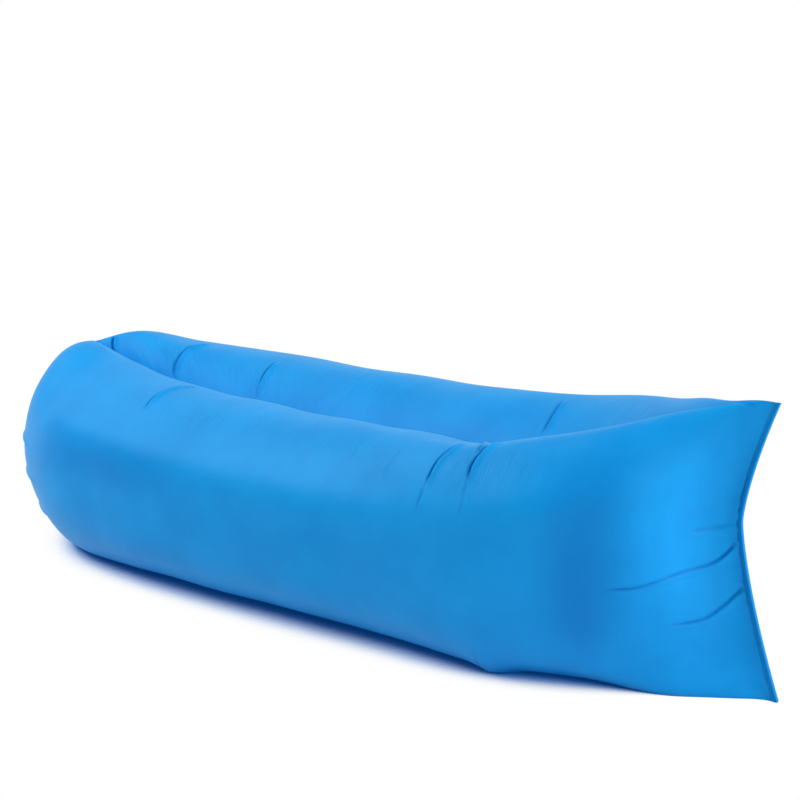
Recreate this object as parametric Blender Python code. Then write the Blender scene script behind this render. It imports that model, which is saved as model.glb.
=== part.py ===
"""Inflatable air lounger: two long air chambers side by side, with a rolled and buckled mouth.

Metres, +Z up. The chambers lie along X: the flat end seam is at +X, the mouth at -X, and the near
side is -Y. The origin is at floor level, in the middle of the whole.
"""

import math

import bmesh
import bpy
import numpy as np
from mathutils import Matrix, Vector

# Driving sizes of the inflated chambers
CHAMBER_LENGTH = 2.12
HALF_WIDTH = 0.430
BODY_HEIGHT = 0.470
END_HEIGHT = 0.650
END_CURVE_DEPTH = 0.080
END_CURVE_HEIGHT = 0.380
END_CURVE_POWER = 1.4
HEEL_REACH = 0.025
SIDE_HEIGHT = 0.240

# Fabric, film and the room that touching pieces keep
SKIN = 0.0010
FILM = 0.0005
CLEARANCE = 0.0003
CHAMBER_SPACING = 0.0026
FLOOR_FLAT = 0.0005
# Where a chamber is too thin for its layers, each goes in by a share of the room
CAVITY_THIN_SHARE = 0.45
LINER_THIN_SHARE = 0.60
INSIDE_THIN_SHARE = 0.85

# End seam and its binding
SEAM_ALLOWANCE = 0.014
CAVITY_SETBACK = 0.010
BINDING_DEPTH = 0.010
BINDING_TAPE = 0.0010
BINDING_FLOOR_ROOM = 0.002

# Tape that joins the two chambers where they touch
CENTRE_TAPE_HEIGHT = 0.016

# Rolled mouth, bent into an upright ring
ROLL_LENGTH = 0.700
BATTEN_WIDTH = 0.020
BATTEN_THICKNESS = 0.0016
BATTEN_SETBACK = 0.002
ROLL_CLOTH = 0.0022
ROLL_PITCH = 0.0027
ROLL_TURNS = 3.5
ROLL_TAIL = 0.003
RING_HALF_DEPTH = 0.110
RING_HALF_HEIGHT = 0.152
RING_CENTRE_HEIGHT = 0.250
RING_ROOT_SETBACK = 0.138
THROAT_HALF_GAP = 0.0022
THROAT_ANGLE = math.radians(95)
THROAT_LIP = 0.010
THROAT_LIP_HALF = 0.016

# Webbing
WEBBING_WIDTH = 0.020
WEBBING_THICKNESS = 0.0012
WEBBING_PLY_GAP = 0.0004
WEBBING_TAPER_SHARE = 0.45

# Side-release buckle: both halves
BUCKLE_WIDTH = 0.032
BUCKLE_THICKNESS = 0.0100
BUCKLE_CORNER = 0.0024
BUCKLE_CHAMFER = 0.0007
BAR_LENGTH = 0.0036
BAR_THICKNESS = 0.0032
STRAP_SLOT = 0.0040
STRAP_SIDE_ROOM = 0.0006
GRIP_GROOVES = 3
GRIP_GROOVE_DEPTH = 0.0004
GRIP_GROOVE_WIDTH = 0.0008
GRIP_GROOVE_PITCH = 0.0022

# Socket
SOCKET_LENGTH = 0.0340
SOCKET_FACE_WALL = 0.0018
SOCKET_SIDE_WALL = 0.0018
POCKET_DEPTH = 0.0245
WINDOW_ROOM_BELOW = 0.0022
WINDOW_LEDGE = 0.0001
PANEL_MARGIN = 0.0045
PANEL_DEPTH = 0.0004

# Plug, its guide and its two sprung arms
PLUG_LENGTH = 0.0170
GUIDE_LENGTH = 0.0150
GUIDE_WIDTH = 0.0060
GUIDE_TIP_WIDTH = 0.0030
ARM_WIDTH = 0.0026
ARM_PIVOT_OUT = 0.0110
ARM_PIVOT_RADIUS = 0.0020
ARM_PIVOT_DEPTH = 0.0027
ARM_SWING_ROOM = 0.0005
ARM_CATCH_OFFSET = 0.0085
ARM_BUTTON_LENGTH = 0.0080
ARM_RAMP_LENGTH = 0.0030
ARM_BUTTON_SETBACK = 0.0002
ARM_FACE_ROOM = 0.0004
CUT_OVERRUN = 0.0010

# How finely the forms are faceted
ROUND_STEPS = 20
STEPS_BETWEEN_STATIONS = (1, 4, 3, 2, 2, 2, 2, 2, 2, 2, 2, 1)
RING_STEPS = 24
ROLL_CORNER_STEPS = 3
STRAP_STEPS = 6
BAR_WRAP_STEPS = 6
PIVOT_STEPS = 16
CORNER_STEPS = 3
RING_LENGTH_STEPS = 2000

# Places round a section, as the angle from the crest over the outer side
QUARTER_TURN = math.pi / 2
FULL_TURN = 2 * math.pi

# Stations from the mouth's lip to the last one before the end seam. Places along the chamber are
# shares of its length, back from the end seam's top corner.
CREST_PLACE_SHARES = (0.967, 0.934, 0.873, 0.755, 0.566, 0.401, 0.274, 0.170, 0.080)
SIDE_PLACE_SHARES = (1.000, 0.969, 0.885, 0.755, 0.566, 0.401, 0.274, 0.170, 0.091)
BELLY_PLACE_SHARES = (0.943, 0.906, 0.849, 0.755, 0.566, 0.401, 0.274, 0.170, 0.080)
INNER_PLACE_SHARES = (0.892, 0.849, 0.802, 0.708, 0.566, 0.401, 0.274, 0.189, 0.118)
# Distances out from the middle plane are shares of the half width.
CREST_OUT_SHARES = (0.045, 0.158, 0.250, 0.400, 0.481, 0.523, 0.600, 0.391, 0.121)
SIDE_OUT_SHARES = (0.265, 0.555, 0.875, 1.000, 0.988, 0.930, 0.890, 0.750, 0.330)
BELLY_OUT_SHARES = (0.244, 0.465, 0.530, 0.488, 0.442, 0.395, 0.440, 0.290, 0.250)
# The crest is a share of the body's height, and then climbs by a share of what the end adds.
CREST_UP_SHARES = (0.979, 1.000, 0.996, 0.983, 0.996, 1.000, 1.000, 1.000, 1.000)
CREST_CLIMB_SHARES = (0, 0.070, 0, 0, 0, 0.083, 0.233, 0.522, 0.817)
# The side's height climbs from its own value to that of the end seam's deepest point.
SIDE_CLIMB_SHARES = (0.04, 0, 0, 0, 0, 0, 0.07, 0.43, 0.80)
# The belly's height is a share of the body's, and stands clear of the floor under the mouth.
BELLY_UP_SHARES = (0.043, 0.006, 0, 0, 0, 0, 0, 0, 0)

# Colours, linear
BLUE_CLOTH = (0.011, 0.258, 0.680, 1)
PALE_FILM = (0.80, 0.84, 0.86, 1)
BLACK_WEBBING = (0.012, 0.012, 0.014, 1)
BLACK_PLASTIC = (0.016, 0.016, 0.018, 1)
GREY_PLASTIC = (0.25, 0.26, 0.28, 1)

# Where the whole lies along X, so that the origin is in its middle
ROLL_HALF_THICKNESS = BATTEN_THICKNESS / 2 + CLEARANCE + ROLL_TURNS * ROLL_PITCH + ROLL_CLOTH
ROLL_OUTER_REACH = ROLL_HALF_THICKNESS + ROLL_TAIL + CLEARANCE
RING_CENTRE_BACK = CHAMBER_LENGTH - RING_ROOT_SETBACK + ROLL_OUTER_REACH + RING_HALF_DEPTH
BACK_REACH = RING_CENTRE_BACK + RING_HALF_DEPTH + BUCKLE_THICKNESS / 2
FRONT_REACH = HEEL_REACH + CLEARANCE + BINDING_TAPE
CORNER_X = (BACK_REACH - FRONT_REACH) / 2
RING_X = CORNER_X - RING_CENTRE_BACK
RING_Z = RING_CENTRE_HEIGHT - FLOOR_FLAT

# Where the closed buckle lies: upright across the gap between the ring's ends
BUCKLE_X = RING_X - RING_HALF_DEPTH
BUCKLE_LENGTH = SOCKET_LENGTH + CLEARANCE + PLUG_LENGTH
SOCKET_BOTTOM = RING_Z - BUCKLE_LENGTH / 2
SOCKET_TOP = SOCKET_BOTTOM + SOCKET_LENGTH
PLUG_BOTTOM = SOCKET_TOP + CLEARANCE
PLUG_TOP = PLUG_BOTTOM + PLUG_LENGTH
PIVOT_Z = PLUG_BOTTOM + ARM_PIVOT_DEPTH


def clear_scene():
    for old in list(bpy.data.objects):
        bpy.data.objects.remove(old, do_unlink=True)


def make_material(name, colour, roughness, metallic=0.0):
    material = bpy.data.materials.new(name)
    material.use_nodes = True
    shader = material.node_tree.nodes["Principled BSDF"]
    shader.inputs["Base Color"].default_value = colour
    shader.inputs["Roughness"].default_value = roughness
    shader.inputs["Metallic"].default_value = metallic
    material.diffuse_color = colour
    return material


def add_object(name, mesh, material):
    part = bpy.data.objects.new(name, mesh)
    part.data.materials.append(material)
    bpy.context.scene.collection.objects.link(part)
    return part


def set_origin(part, place):
    """Moves the object's origin to place, with its mesh where it was."""
    part.data.transform(Matrix.Translation(-place))
    part.location = place


def shade_round(mesh, sharp_angle=math.radians(40)):
    mesh.shade_smooth()
    mesh.set_sharp_from_angle(angle=sharp_angle)


# Outline of the chambers


def section_loop(crest, side, belly, inner, angles, bend=2):
    """Quarter ellipses from crest to side, to belly, to the inner line and back to the crest."""
    loop = []
    for angle in angles:
        quarter = round((angle - angle % QUARTER_TURN) / QUARTER_TURN)
        rest = angle - quarter * QUARTER_TURN
        tops = (crest, belly, belly, crest)[quarter]
        flanks = (side, side, inner, inner)[quarter]
        toward_flank = math.sin(rest) if quarter in (0, 2) else math.cos(rest)
        toward_top = math.cos(rest) if quarter in (0, 2) else math.sin(rest)
        loop.append(
            (
                flanks[0] + (tops[0] - flanks[0]) * abs(toward_top) ** bend,
                tops[1] + (flanks[1] - tops[1]) * toward_flank,
                flanks[2] + (tops[2] - flanks[2]) * toward_top,
            )
        )
    return np.array(loop)


def ring_point(angle, offset=0.0):
    """A point of the mouth's ring, offset outward from its centre line. Angle 0 is the root."""
    outward = Vector((math.cos(angle) / RING_HALF_DEPTH, 0, math.sin(angle) / RING_HALF_HEIGHT))
    outward.normalize()
    x = RING_X + RING_HALF_DEPTH * math.cos(angle)
    z = RING_Z + RING_HALF_HEIGHT * math.sin(angle)
    return Vector((x, 0, z)) + outward * offset


def throat_loop(offset, half_gap, angles, sweep=THROAT_ANGLE):
    """The chamber's two layers where they meet the ring, as a slit along it."""
    loop = []
    middle = -(CHAMBER_SPACING / 2 + THROAT_HALF_GAP)
    if half_gap > THROAT_HALF_GAP:
        middle = -(CHAMBER_SPACING / 2 + half_gap)
    for angle in angles:
        spread = math.sin(angle)
        from_crest = min(angle, FULL_TURN - angle)
        point = ring_point(sweep * (1 - from_crest / QUARTER_TURN), offset)
        across = -math.copysign(math.sqrt(abs(spread)), spread) * half_gap
        loop.append((point.x, middle + across, point.z))
    return np.array(loop)


def station_loops(angles):
    """The near chamber's outline at each station, from the mouth to the end seam."""
    inner_y = -CHAMBER_SPACING / 2
    climb = END_HEIGHT - BODY_HEIGHT
    loops = [
        throat_loop(ROLL_OUTER_REACH, THROAT_HALF_GAP, angles),
        throat_loop(ROLL_OUTER_REACH + THROAT_LIP, THROAT_LIP_HALF, angles),
    ]
    for k in range(len(CREST_PLACE_SHARES)):
        crest = (
            CORNER_X - CREST_PLACE_SHARES[k] * CHAMBER_LENGTH,
            inner_y - CREST_OUT_SHARES[k] * HALF_WIDTH,
            CREST_UP_SHARES[k] * BODY_HEIGHT + CREST_CLIMB_SHARES[k] * climb,
        )
        side_z = SIDE_HEIGHT + SIDE_CLIMB_SHARES[k] * (END_CURVE_HEIGHT - SIDE_HEIGHT)
        side = (
            CORNER_X - SIDE_PLACE_SHARES[k] * CHAMBER_LENGTH,
            -SIDE_OUT_SHARES[k] * HALF_WIDTH,
            side_z,
        )
        belly = (
            CORNER_X - BELLY_PLACE_SHARES[k] * CHAMBER_LENGTH,
            inner_y - BELLY_OUT_SHARES[k] * HALF_WIDTH,
            BELLY_UP_SHARES[k] * BODY_HEIGHT,
        )
        inner = (CORNER_X - INNER_PLACE_SHARES[k] * CHAMBER_LENGTH, inner_y, side_z)
        loops.append(section_loop(crest, side, belly, inner, angles))
    for back in (SEAM_ALLOWANCE, 0):
        middle_y = inner_y - SKIN
        deepest = CORNER_X - END_CURVE_DEPTH - back
        crest = (CORNER_X - back, middle_y, END_HEIGHT)
        belly = (CORNER_X + HEEL_REACH - back, middle_y, 0)
        side = (deepest, inner_y - 2 * SKIN, END_CURVE_HEIGHT)
        inner = (deepest, inner_y, END_CURVE_HEIGHT)
        loops.append(section_loop(crest, side, belly, inner, angles, END_CURVE_POWER))
    return np.array(loops)


def smooth_through(rows, places, wanted):
    """A cubic through rows at places, with each slope from the parabola through three rows."""
    steps = np.diff(places)
    slopes = np.diff(rows, axis=0) / steps[:, None, None]
    tangents = np.empty_like(rows)
    before, after = steps[:-1, None, None], steps[1:, None, None]
    tangents[1:-1] = (before * slopes[1:] + after * slopes[:-1]) / (before + after)
    tangents[0], tangents[-1] = slopes[0], slopes[-1]
    index = np.clip(np.searchsorted(places, wanted, side="right") - 1, 0, len(steps) - 1)
    width = steps[index]
    t = ((wanted - places[index]) / width)[:, None, None]
    width = width[:, None, None]
    return (
        rows[index] * (1 + 2 * t) * (1 - t) ** 2
        + rows[index + 1] * t**2 * (3 - 2 * t)
        + tangents[index] * width * t * (1 - t) ** 2
        - tangents[index + 1] * width * t**2 * (1 - t)
    )


def station_places():
    """Distances along the chamber's side line, one for each station."""
    side_line = station_loops([QUARTER_TURN])[:, 0]
    return np.concatenate([[0], np.cumsum(np.linalg.norm(np.diff(side_line, axis=0), axis=1))])


def chamber_rings(round_steps):
    """Rings of points round the near chamber, and a last place for its cavity's end."""
    angles = [FULL_TURN * i / round_steps for i in range(round_steps)]
    loops = station_loops(angles)
    places = station_places()
    wanted = []
    for k, steps in enumerate(STEPS_BETWEEN_STATIONS):
        wanted += [places[k] + (places[k + 1] - places[k]) * i / steps for i in range(steps)]
    wanted.insert(-1, places[-2] - CAVITY_SETBACK)
    wanted.append(places[-1])
    return smooth_through(loops, places, np.array(wanted))


def inward(rings):
    """The inward direction at each point of the rings, across both neighbours."""
    along = np.gradient(rings, axis=0)
    around = np.roll(rings, -1, axis=1) - np.roll(rings, 1, axis=1)
    normal = np.cross(along, around)
    return normal / np.linalg.norm(normal, axis=2, keepdims=True)


def inset(rings, depth, thin_share):
    """The rings moved in by depth, or by a share of the room where the chamber is thin."""
    mirrored = np.roll(rings[:, ::-1], 1, axis=1)
    room = np.linalg.norm(rings - mirrored, axis=2) / 2
    count = rings.shape[1]
    room[:, [0, count // 2]] = depth / thin_share
    move = np.minimum(depth, thin_share * room)[:, :, None]
    moved = rings + inward(rings) * move
    angles = [FULL_TURN * i / count for i in range(count)]
    half_gap = THROAT_HALF_GAP - min(depth, thin_share * THROAT_HALF_GAP)
    sweep = THROAT_ANGLE - depth / RING_HALF_HEIGHT
    moved[0] = throat_loop(ROLL_OUTER_REACH, half_gap, angles, sweep)
    return moved


# Turning points into meshes


def add_rings(bm, rings):
    return [[bm.verts.new(point) for point in ring] for ring in rings]


def skin_rings(bm, rings, outward):
    for first, second in zip(rings, rings[1:]):
        count = len(first)
        for i in range(count):
            j = (i + 1) % count
            for corners in ((first[i], first[j], second[j]), (first[i], second[j], second[i])):
                bm.faces.new(corners if outward else corners[::-1])


def close_slit(bm, ring):
    """Closes a ring by strips from each side to the other, so that the cap follows its curve."""
    count = len(ring)
    for i in range(count // 2):
        corners = [ring[i], ring[i + 1], ring[count - i - 1], ring[-i]]
        if i == 0:
            corners = [ring[0], ring[1], ring[-1]]
        if i == count // 2 - 1:
            corners = [ring[i], ring[i + 1], ring[-i]]
        bm.faces.new(corners)


def finish_mesh(bm, name):
    bmesh.ops.recalc_face_normals(bm, faces=bm.faces)
    mesh = bpy.data.meshes.new(name)
    bm.to_mesh(mesh)
    bm.free()
    return mesh


def cup_mesh(name, outer, inner, side):
    """A thin-walled cup: outer and inner rings, joined round the mouth and closed at the far end."""
    bm = bmesh.new()
    mirror = Matrix.Diagonal((1, side, 1)).to_3x3()
    outer_rings = add_rings(bm, outer)
    inner_rings = add_rings(bm, inner)
    skin_rings(bm, outer_rings, True)
    skin_rings(bm, inner_rings, False)
    skin_rings(bm, [inner_rings[0], outer_rings[0]], True)
    close_slit(bm, outer_rings[-1])
    close_slit(bm, inner_rings[-1])
    bmesh.ops.transform(bm, matrix=mirror.to_4x4(), verts=bm.verts)
    return finish_mesh(bm, name)


def sweep_mesh(name, frames, outline):
    """An outline of (outward, across) points carried along frames of (place, outward, across)."""
    bm = bmesh.new()
    rings = []
    for place, outward, across in frames:
        rings.append([bm.verts.new(place + outward * a + across * b) for a, b in outline])
    skin_rings(bm, rings, True)
    bm.faces.new(rings[0])
    bm.faces.new(rings[-1])
    return finish_mesh(bm, name)


def box_mesh(name, low, high, corner=0.0, chamfer=0.0):
    """A box between two corners, with rounded upright edges and chamfered ends."""
    bm = bmesh.new()
    size = Vector(high) - Vector(low)
    bmesh.ops.create_cube(bm, size=1)
    bmesh.ops.scale(bm, vec=size, verts=bm.verts)
    bmesh.ops.translate(bm, vec=(Vector(low) + Vector(high)) / 2, verts=bm.verts)
    if corner:
        upright = [e for e in bm.edges if is_upright(e.verts[1].co - e.verts[0].co)]
        bmesh.ops.bevel(
            bm, geom=upright, offset=corner, segments=CORNER_STEPS, affect="EDGES", profile=0.5
        )
        level = [e for e in bm.edges if not is_upright(e.verts[1].co - e.verts[0].co)]
        bmesh.ops.bevel(bm, geom=level, offset=chamfer, segments=1, affect="EDGES", profile=0.5)
    return finish_mesh(bm, name)


def is_upright(direction):
    return abs(direction.z) > abs(direction.x) + abs(direction.y)


def prism_mesh(name, outline, low_x, high_x):
    """An outline of (y, z) points given a thickness along X."""
    bm = bmesh.new()
    rings = [[bm.verts.new((x, y, z)) for y, z in outline] for x in (low_x, high_x)]
    skin_rings(bm, rings, True)
    bm.faces.new(rings[0])
    bm.faces.new(rings[1])
    return finish_mesh(bm, name)


def add_boolean(part, cutter, operation="DIFFERENCE"):
    cutter.hide_render = True
    cutter.display_type = "WIRE"
    modifier = part.modifiers.new(cutter.name, "BOOLEAN")
    modifier.operation = operation
    modifier.solver = "EXACT"
    modifier.object = cutter


# Chambers and their seams


def build_chambers(cloth, film):
    outer = chamber_rings(ROUND_STEPS)
    cavity = inset(outer, SKIN, CAVITY_THIN_SHARE)[:-2]
    bladder = inset(outer, SKIN + CLEARANCE, LINER_THIN_SHARE)[:-2]
    inside = inset(outer, SKIN + CLEARANCE + FILM, INSIDE_THIN_SHARE)[:-2]
    bladder, inside = bladder[:-1], inside[:-1]
    for name, side in (("near", 1), ("far", -1)):
        shell = add_object(name + "_chamber_shell", cup_mesh(name, outer, cavity, side), cloth)
        shell.location.z = -FLOOR_FLAT
        shade_round(shell.data)
        floor = box_mesh(
            name + "_floor",
            (-CHAMBER_LENGTH, -CHAMBER_LENGTH, -HALF_WIDTH),
            (CHAMBER_LENGTH, CHAMBER_LENGTH, 0),
        )
        add_boolean(shell, add_object(name + "_floor_cutter", floor, cloth))
        liner = add_object(name + "_air_liner", cup_mesh(name, bladder, inside, side), film)
        liner.location.z = -FLOOR_FLAT
        shade_round(liner.data)


def build_centre_tape(material):
    """The tape along the line where the chambers touch."""
    line = smooth_through(
        station_loops([3 * QUARTER_TURN]), station_places(), tape_places()
    )[:, 0]
    half = CENTRE_TAPE_HEIGHT / 2
    wide = CHAMBER_SPACING / 2 - CLEARANCE
    outline = ((-half, -wide), (half, -wide), (half, wide), (-half, wide))
    frames = []
    for i, place in enumerate(line):
        ahead = Vector(line[min(i + 1, len(line) - 1)]) - Vector(line[max(i - 1, 0)])
        up = Vector((-ahead.z, 0, ahead.x)).normalized()
        frames.append((Vector((place[0], 0, place[2] - FLOOR_FLAT)), up, Vector((0, 1, 0))))
    add_object("centre_seam_tape", sweep_mesh("centre_seam_tape", frames, outline), material)


def tape_places():
    places = station_places()
    return np.linspace(places[2], places[-3], RING_STEPS)


def end_edge(angle):
    """A point of the sewn end's edge, by the section angle, and how wide a level slice gets there."""
    rise = END_HEIGHT - END_CURVE_HEIGHT if angle < QUARTER_TURN else END_CURVE_HEIGHT
    toward_top = math.cos(angle)
    climb = abs(toward_top)
    depth = END_CURVE_DEPTH if angle < QUARTER_TURN else END_CURVE_DEPTH + HEEL_REACH
    x = CORNER_X - END_CURVE_DEPTH + depth * climb**END_CURVE_POWER
    z = END_CURVE_HEIGHT + rise * toward_top - FLOOR_FLAT
    slope = END_CURVE_POWER * depth * climb ** (END_CURVE_POWER - 1) / rise
    return Vector((x, 0, z)), math.hypot(1, slope)


def build_end_binding(material):
    """A tape folded over the raw edge of the end seam, in level slices."""
    inside = CHAMBER_SPACING / 2 + 2 * SKIN + CLEARANCE
    outside = inside + BINDING_TAPE
    reach = CLEARANCE + BINDING_TAPE
    outline = (
        (-BINDING_DEPTH, -outside),
        (reach, -outside),
        (reach, outside),
        (-BINDING_DEPTH, outside),
        (-BINDING_DEPTH, inside),
        (CLEARANCE, inside),
        (CLEARANCE, -inside),
        (-BINDING_DEPTH, -inside),
    )
    half = ROUND_STEPS // 2
    slices = [end_edge(math.pi * i / half) for i in range(half + 1)]
    lowest, above = slices[-1][0], slices[-2][0]
    kept = (BINDING_FLOOR_ROOM - lowest.z) / (above.z - lowest.z)
    slices[-1] = (lowest.lerp(above, kept), slices[-1][1])
    frames = [(place, Vector((wide, 0, 0)), Vector((0, 1, 0))) for place, wide in slices]
    add_object("end_seam_binding", sweep_mesh("end_seam_binding", frames, outline), material)


# Rolled mouth


def ring_angle(distance):
    """The ring's angle at a distance along its centre line from the root."""
    step = math.pi / RING_LENGTH_STEPS
    walked = 0.0
    for i in range(RING_LENGTH_STEPS):
        angle = (i + 0.5) * step
        pace = math.hypot(RING_HALF_DEPTH * math.sin(angle), RING_HALF_HEIGHT * math.cos(angle))
        if walked + pace * step > abs(distance):
            part = (abs(distance) - walked) / pace
            return math.copysign(i * step + part, distance)
        walked += pace * step
    return math.copysign(math.pi, distance)


def ring_frame(distance):
    angle = ring_angle(distance)
    place = ring_point(angle)
    outward = (ring_point(angle, ROLL_PITCH) - place).normalized()
    return place, outward, Vector((0, 1, 0))


def ring_frames(half_length):
    return [
        ring_frame(half_length * (2 * i / RING_STEPS - 1)) for i in range(RING_STEPS + 1)
    ]


def roll_outline():
    """The rolled cloth in section: a flattened spiral round the batten, and its tail to the throat."""
    half = BATTEN_WIDTH / 2
    start = BATTEN_THICKNESS / 2 + CLEARANCE
    half_turns = round(2 * ROLL_TURNS)
    inner, outer = [], []
    for turn in range(half_turns):
        centre = half if turn % 2 == 0 else -half
        for i in range(ROLL_CORNER_STEPS + 1):
            turned = turn * math.pi + math.pi * i / ROLL_CORNER_STEPS
            radius = start + ROLL_PITCH * turned / FULL_TURN
            along, across = -math.cos(turned), math.sin(turned)
            inner.append((along * radius, centre + across * radius))
            outer.append((along * (radius + ROLL_CLOTH), centre + across * (radius + ROLL_CLOTH)))
    tail = ROLL_HALF_THICKNESS + ROLL_TAIL
    side = ROLL_CLOTH / 2
    outer += [(outer[-1][0], side), (tail, side), (tail, -side), (inner[-1][0], -side)]
    return outer + inner[::-1]


def build_roll(cloth, plastic):
    roll = sweep_mesh("mouth_roll", ring_frames(ROLL_LENGTH / 2), roll_outline())
    shade_round(roll)
    add_object("mouth_roll", roll, cloth)
    thick, wide = BATTEN_THICKNESS / 2, BATTEN_WIDTH / 2
    outline = ((-thick, -wide), (thick, -wide), (thick, wide), (-thick, wide))
    frames = ring_frames(ROLL_LENGTH / 2 - BATTEN_SETBACK)
    add_object("mouth_batten", sweep_mesh("mouth_batten", frames, outline), plastic)


# Webbing straps


def strap_line(upward):
    """Points and sideways directions from the buckle's bar to the end of the roll."""
    bar_z = PLUG_TOP if upward > 0 else SOCKET_BOTTOM
    start = Vector((BUCKLE_X, 0, bar_z))
    end, outward, _ = ring_frame(upward * (ROLL_LENGTH / 2 + CLEARANCE))
    reach = (end - start).length / 3
    tangent = Vector((-outward.z, 0, outward.x)) * upward
    bends = [start, start + Vector((0, 0, upward * reach)), end - tangent * -reach, end]
    line = []
    for i in range(STRAP_STEPS + 1):
        t = i / STRAP_STEPS
        weights = ((1 - t) ** 3, 3 * t * (1 - t) ** 2, 3 * t**2 * (1 - t), t**3)
        rates = (-3 * (1 - t) ** 2, 3 * (1 - t) * (1 - 3 * t), 3 * t * (2 - 3 * t), 3 * t**2)
        place = sum((b * w for b, w in zip(bends, weights)), Vector())
        ahead = sum((b * r for b, r in zip(bends, rates)), Vector()).normalized()
        line.append((place, Vector((-ahead.z, 0, ahead.x)) * upward, t))
    return line


def strap_outline(upward):
    """Two plies from the roll, joined over the buckle's bar, as (x, z) points."""
    bar_room = BAR_THICKNESS / 2 + CLEARANCE
    bar_z = PLUG_TOP - BAR_LENGTH if upward > 0 else SOCKET_BOTTOM + BAR_LENGTH
    line = strap_line(upward)
    edges = []
    for extra in (WEBBING_THICKNESS, 0):
        sides = {1: [], -1: []}
        for place, sideways, t in line:
            closing = min(1, t / WEBBING_TAPER_SHARE)
            closing = closing * closing * (3 - 2 * closing)
            offset = bar_room + (WEBBING_PLY_GAP / 2 - bar_room) * closing + extra
            for side in (1, -1):
                point = place + sideways * side * offset
                sides[side].append((point.x, point.z))
        wrap = []
        radius = bar_room + extra
        for i in range(BAR_WRAP_STEPS + 1):
            angle = math.pi * i / BAR_WRAP_STEPS
            x = BUCKLE_X - radius * math.cos(angle)
            z = bar_z - upward * radius * math.sin(angle)
            wrap.append((x, z))
        edges.append(sides[1][::-1] + wrap + sides[-1])
    return edges[0] + edges[1][::-1]


def build_strap(name, upward, material):
    bm = bmesh.new()
    half = WEBBING_WIDTH / 2
    outline = strap_outline(upward)
    rings = [[bm.verts.new((x, y, z)) for x, z in outline] for y in (-half, half)]
    skin_rings(bm, rings, True)
    bm.faces.new(rings[0])
    bm.faces.new(rings[1])
    add_object(name, finish_mesh(bm, name), material)


# Buckle


def cut_box(part, name, low, high, material):
    add_boolean(part, add_object(name, box_mesh(name, low, high), material))


def cut_strap_bar(part, bar_end, inward_way, material):
    """Leaves a thin bar across the end of a buckle half, with a slot beside it."""
    wide = WEBBING_WIDTH / 2 + STRAP_SIDE_ROOM
    thick = BAR_THICKNESS / 2
    past = BUCKLE_THICKNESS / 2 + CUT_OVERRUN
    outside = bar_end - inward_way * CUT_OVERRUN
    bar_inside = bar_end + inward_way * BAR_LENGTH
    slot_inside = bar_inside + inward_way * STRAP_SLOT
    low, high = min(outside, slot_inside), max(outside, slot_inside)
    for label, near, far in (("front", -past, -thick), ("back", thick, past)):
        cut_box(
            part,
            part.name + "_bar_" + label,
            (BUCKLE_X + near, -wide, low),
            (BUCKLE_X + far, wide, high),
            material,
        )
    low, high = min(bar_inside, slot_inside), max(bar_inside, slot_inside)
    cut_box(
        part,
        part.name + "_slot",
        (BUCKLE_X - past, -wide, low),
        (BUCKLE_X + past, wide, high),
        material,
    )


def buckle_block(name, low_z, high_z, material):
    thick, wide = BUCKLE_THICKNESS / 2, BUCKLE_WIDTH / 2
    low = (BUCKLE_X - thick, -wide, low_z)
    high = (BUCKLE_X + thick, wide, high_z)
    return add_object(name, box_mesh(name, low, high, BUCKLE_CORNER, BUCKLE_CHAMFER), material)


def build_socket(material):
    socket = buckle_block("buckle_socket", SOCKET_BOTTOM, SOCKET_TOP, material)
    cut_strap_bar(socket, SOCKET_BOTTOM, 1, material)
    deep = BUCKLE_THICKNESS / 2 - SOCKET_FACE_WALL
    wide = BUCKLE_WIDTH / 2 - SOCKET_SIDE_WALL
    floor = SOCKET_TOP - POCKET_DEPTH
    cut_box(
        socket,
        "socket_pocket",
        (BUCKLE_X - deep, -wide, floor),
        (BUCKLE_X + deep, wide, SOCKET_TOP + CUT_OVERRUN),
        material,
    )
    cut_face_panels(socket, material)
    catch = PIVOT_Z - ARM_PIVOT_DEPTH - ARM_CATCH_OFFSET + CLEARANCE
    low = catch - ARM_BUTTON_LENGTH - ARM_RAMP_LENGTH - WINDOW_ROOM_BELOW
    window = deep - WINDOW_LEDGE
    past = BUCKLE_WIDTH / 2 + CUT_OVERRUN
    for label, near, far in (("near", -past, -wide + CUT_OVERRUN), ("far", wide - CUT_OVERRUN, past)):
        cut_box(
            socket,
            "socket_window_" + label,
            (BUCKLE_X - window, near, low),
            (BUCKLE_X + window, far, catch),
            material,
        )


def cut_face_panels(socket, material):
    """A shallow sunk panel on each face of the socket, between its slot and its mouth."""
    low = SOCKET_BOTTOM + BAR_LENGTH + STRAP_SLOT + PANEL_MARGIN
    high = SOCKET_TOP - PANEL_MARGIN
    wide = BUCKLE_WIDTH / 2 - PANEL_MARGIN
    bottom = BUCKLE_THICKNESS / 2 - PANEL_DEPTH
    past = BUCKLE_THICKNESS / 2 + CUT_OVERRUN
    for label, near, far in (("front", -past, -bottom), ("back", bottom, past)):
        cut_box(
            socket,
            "socket_panel_" + label,
            (BUCKLE_X + near, -wide, low),
            (BUCKLE_X + far, wide, high),
            material,
        )


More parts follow.
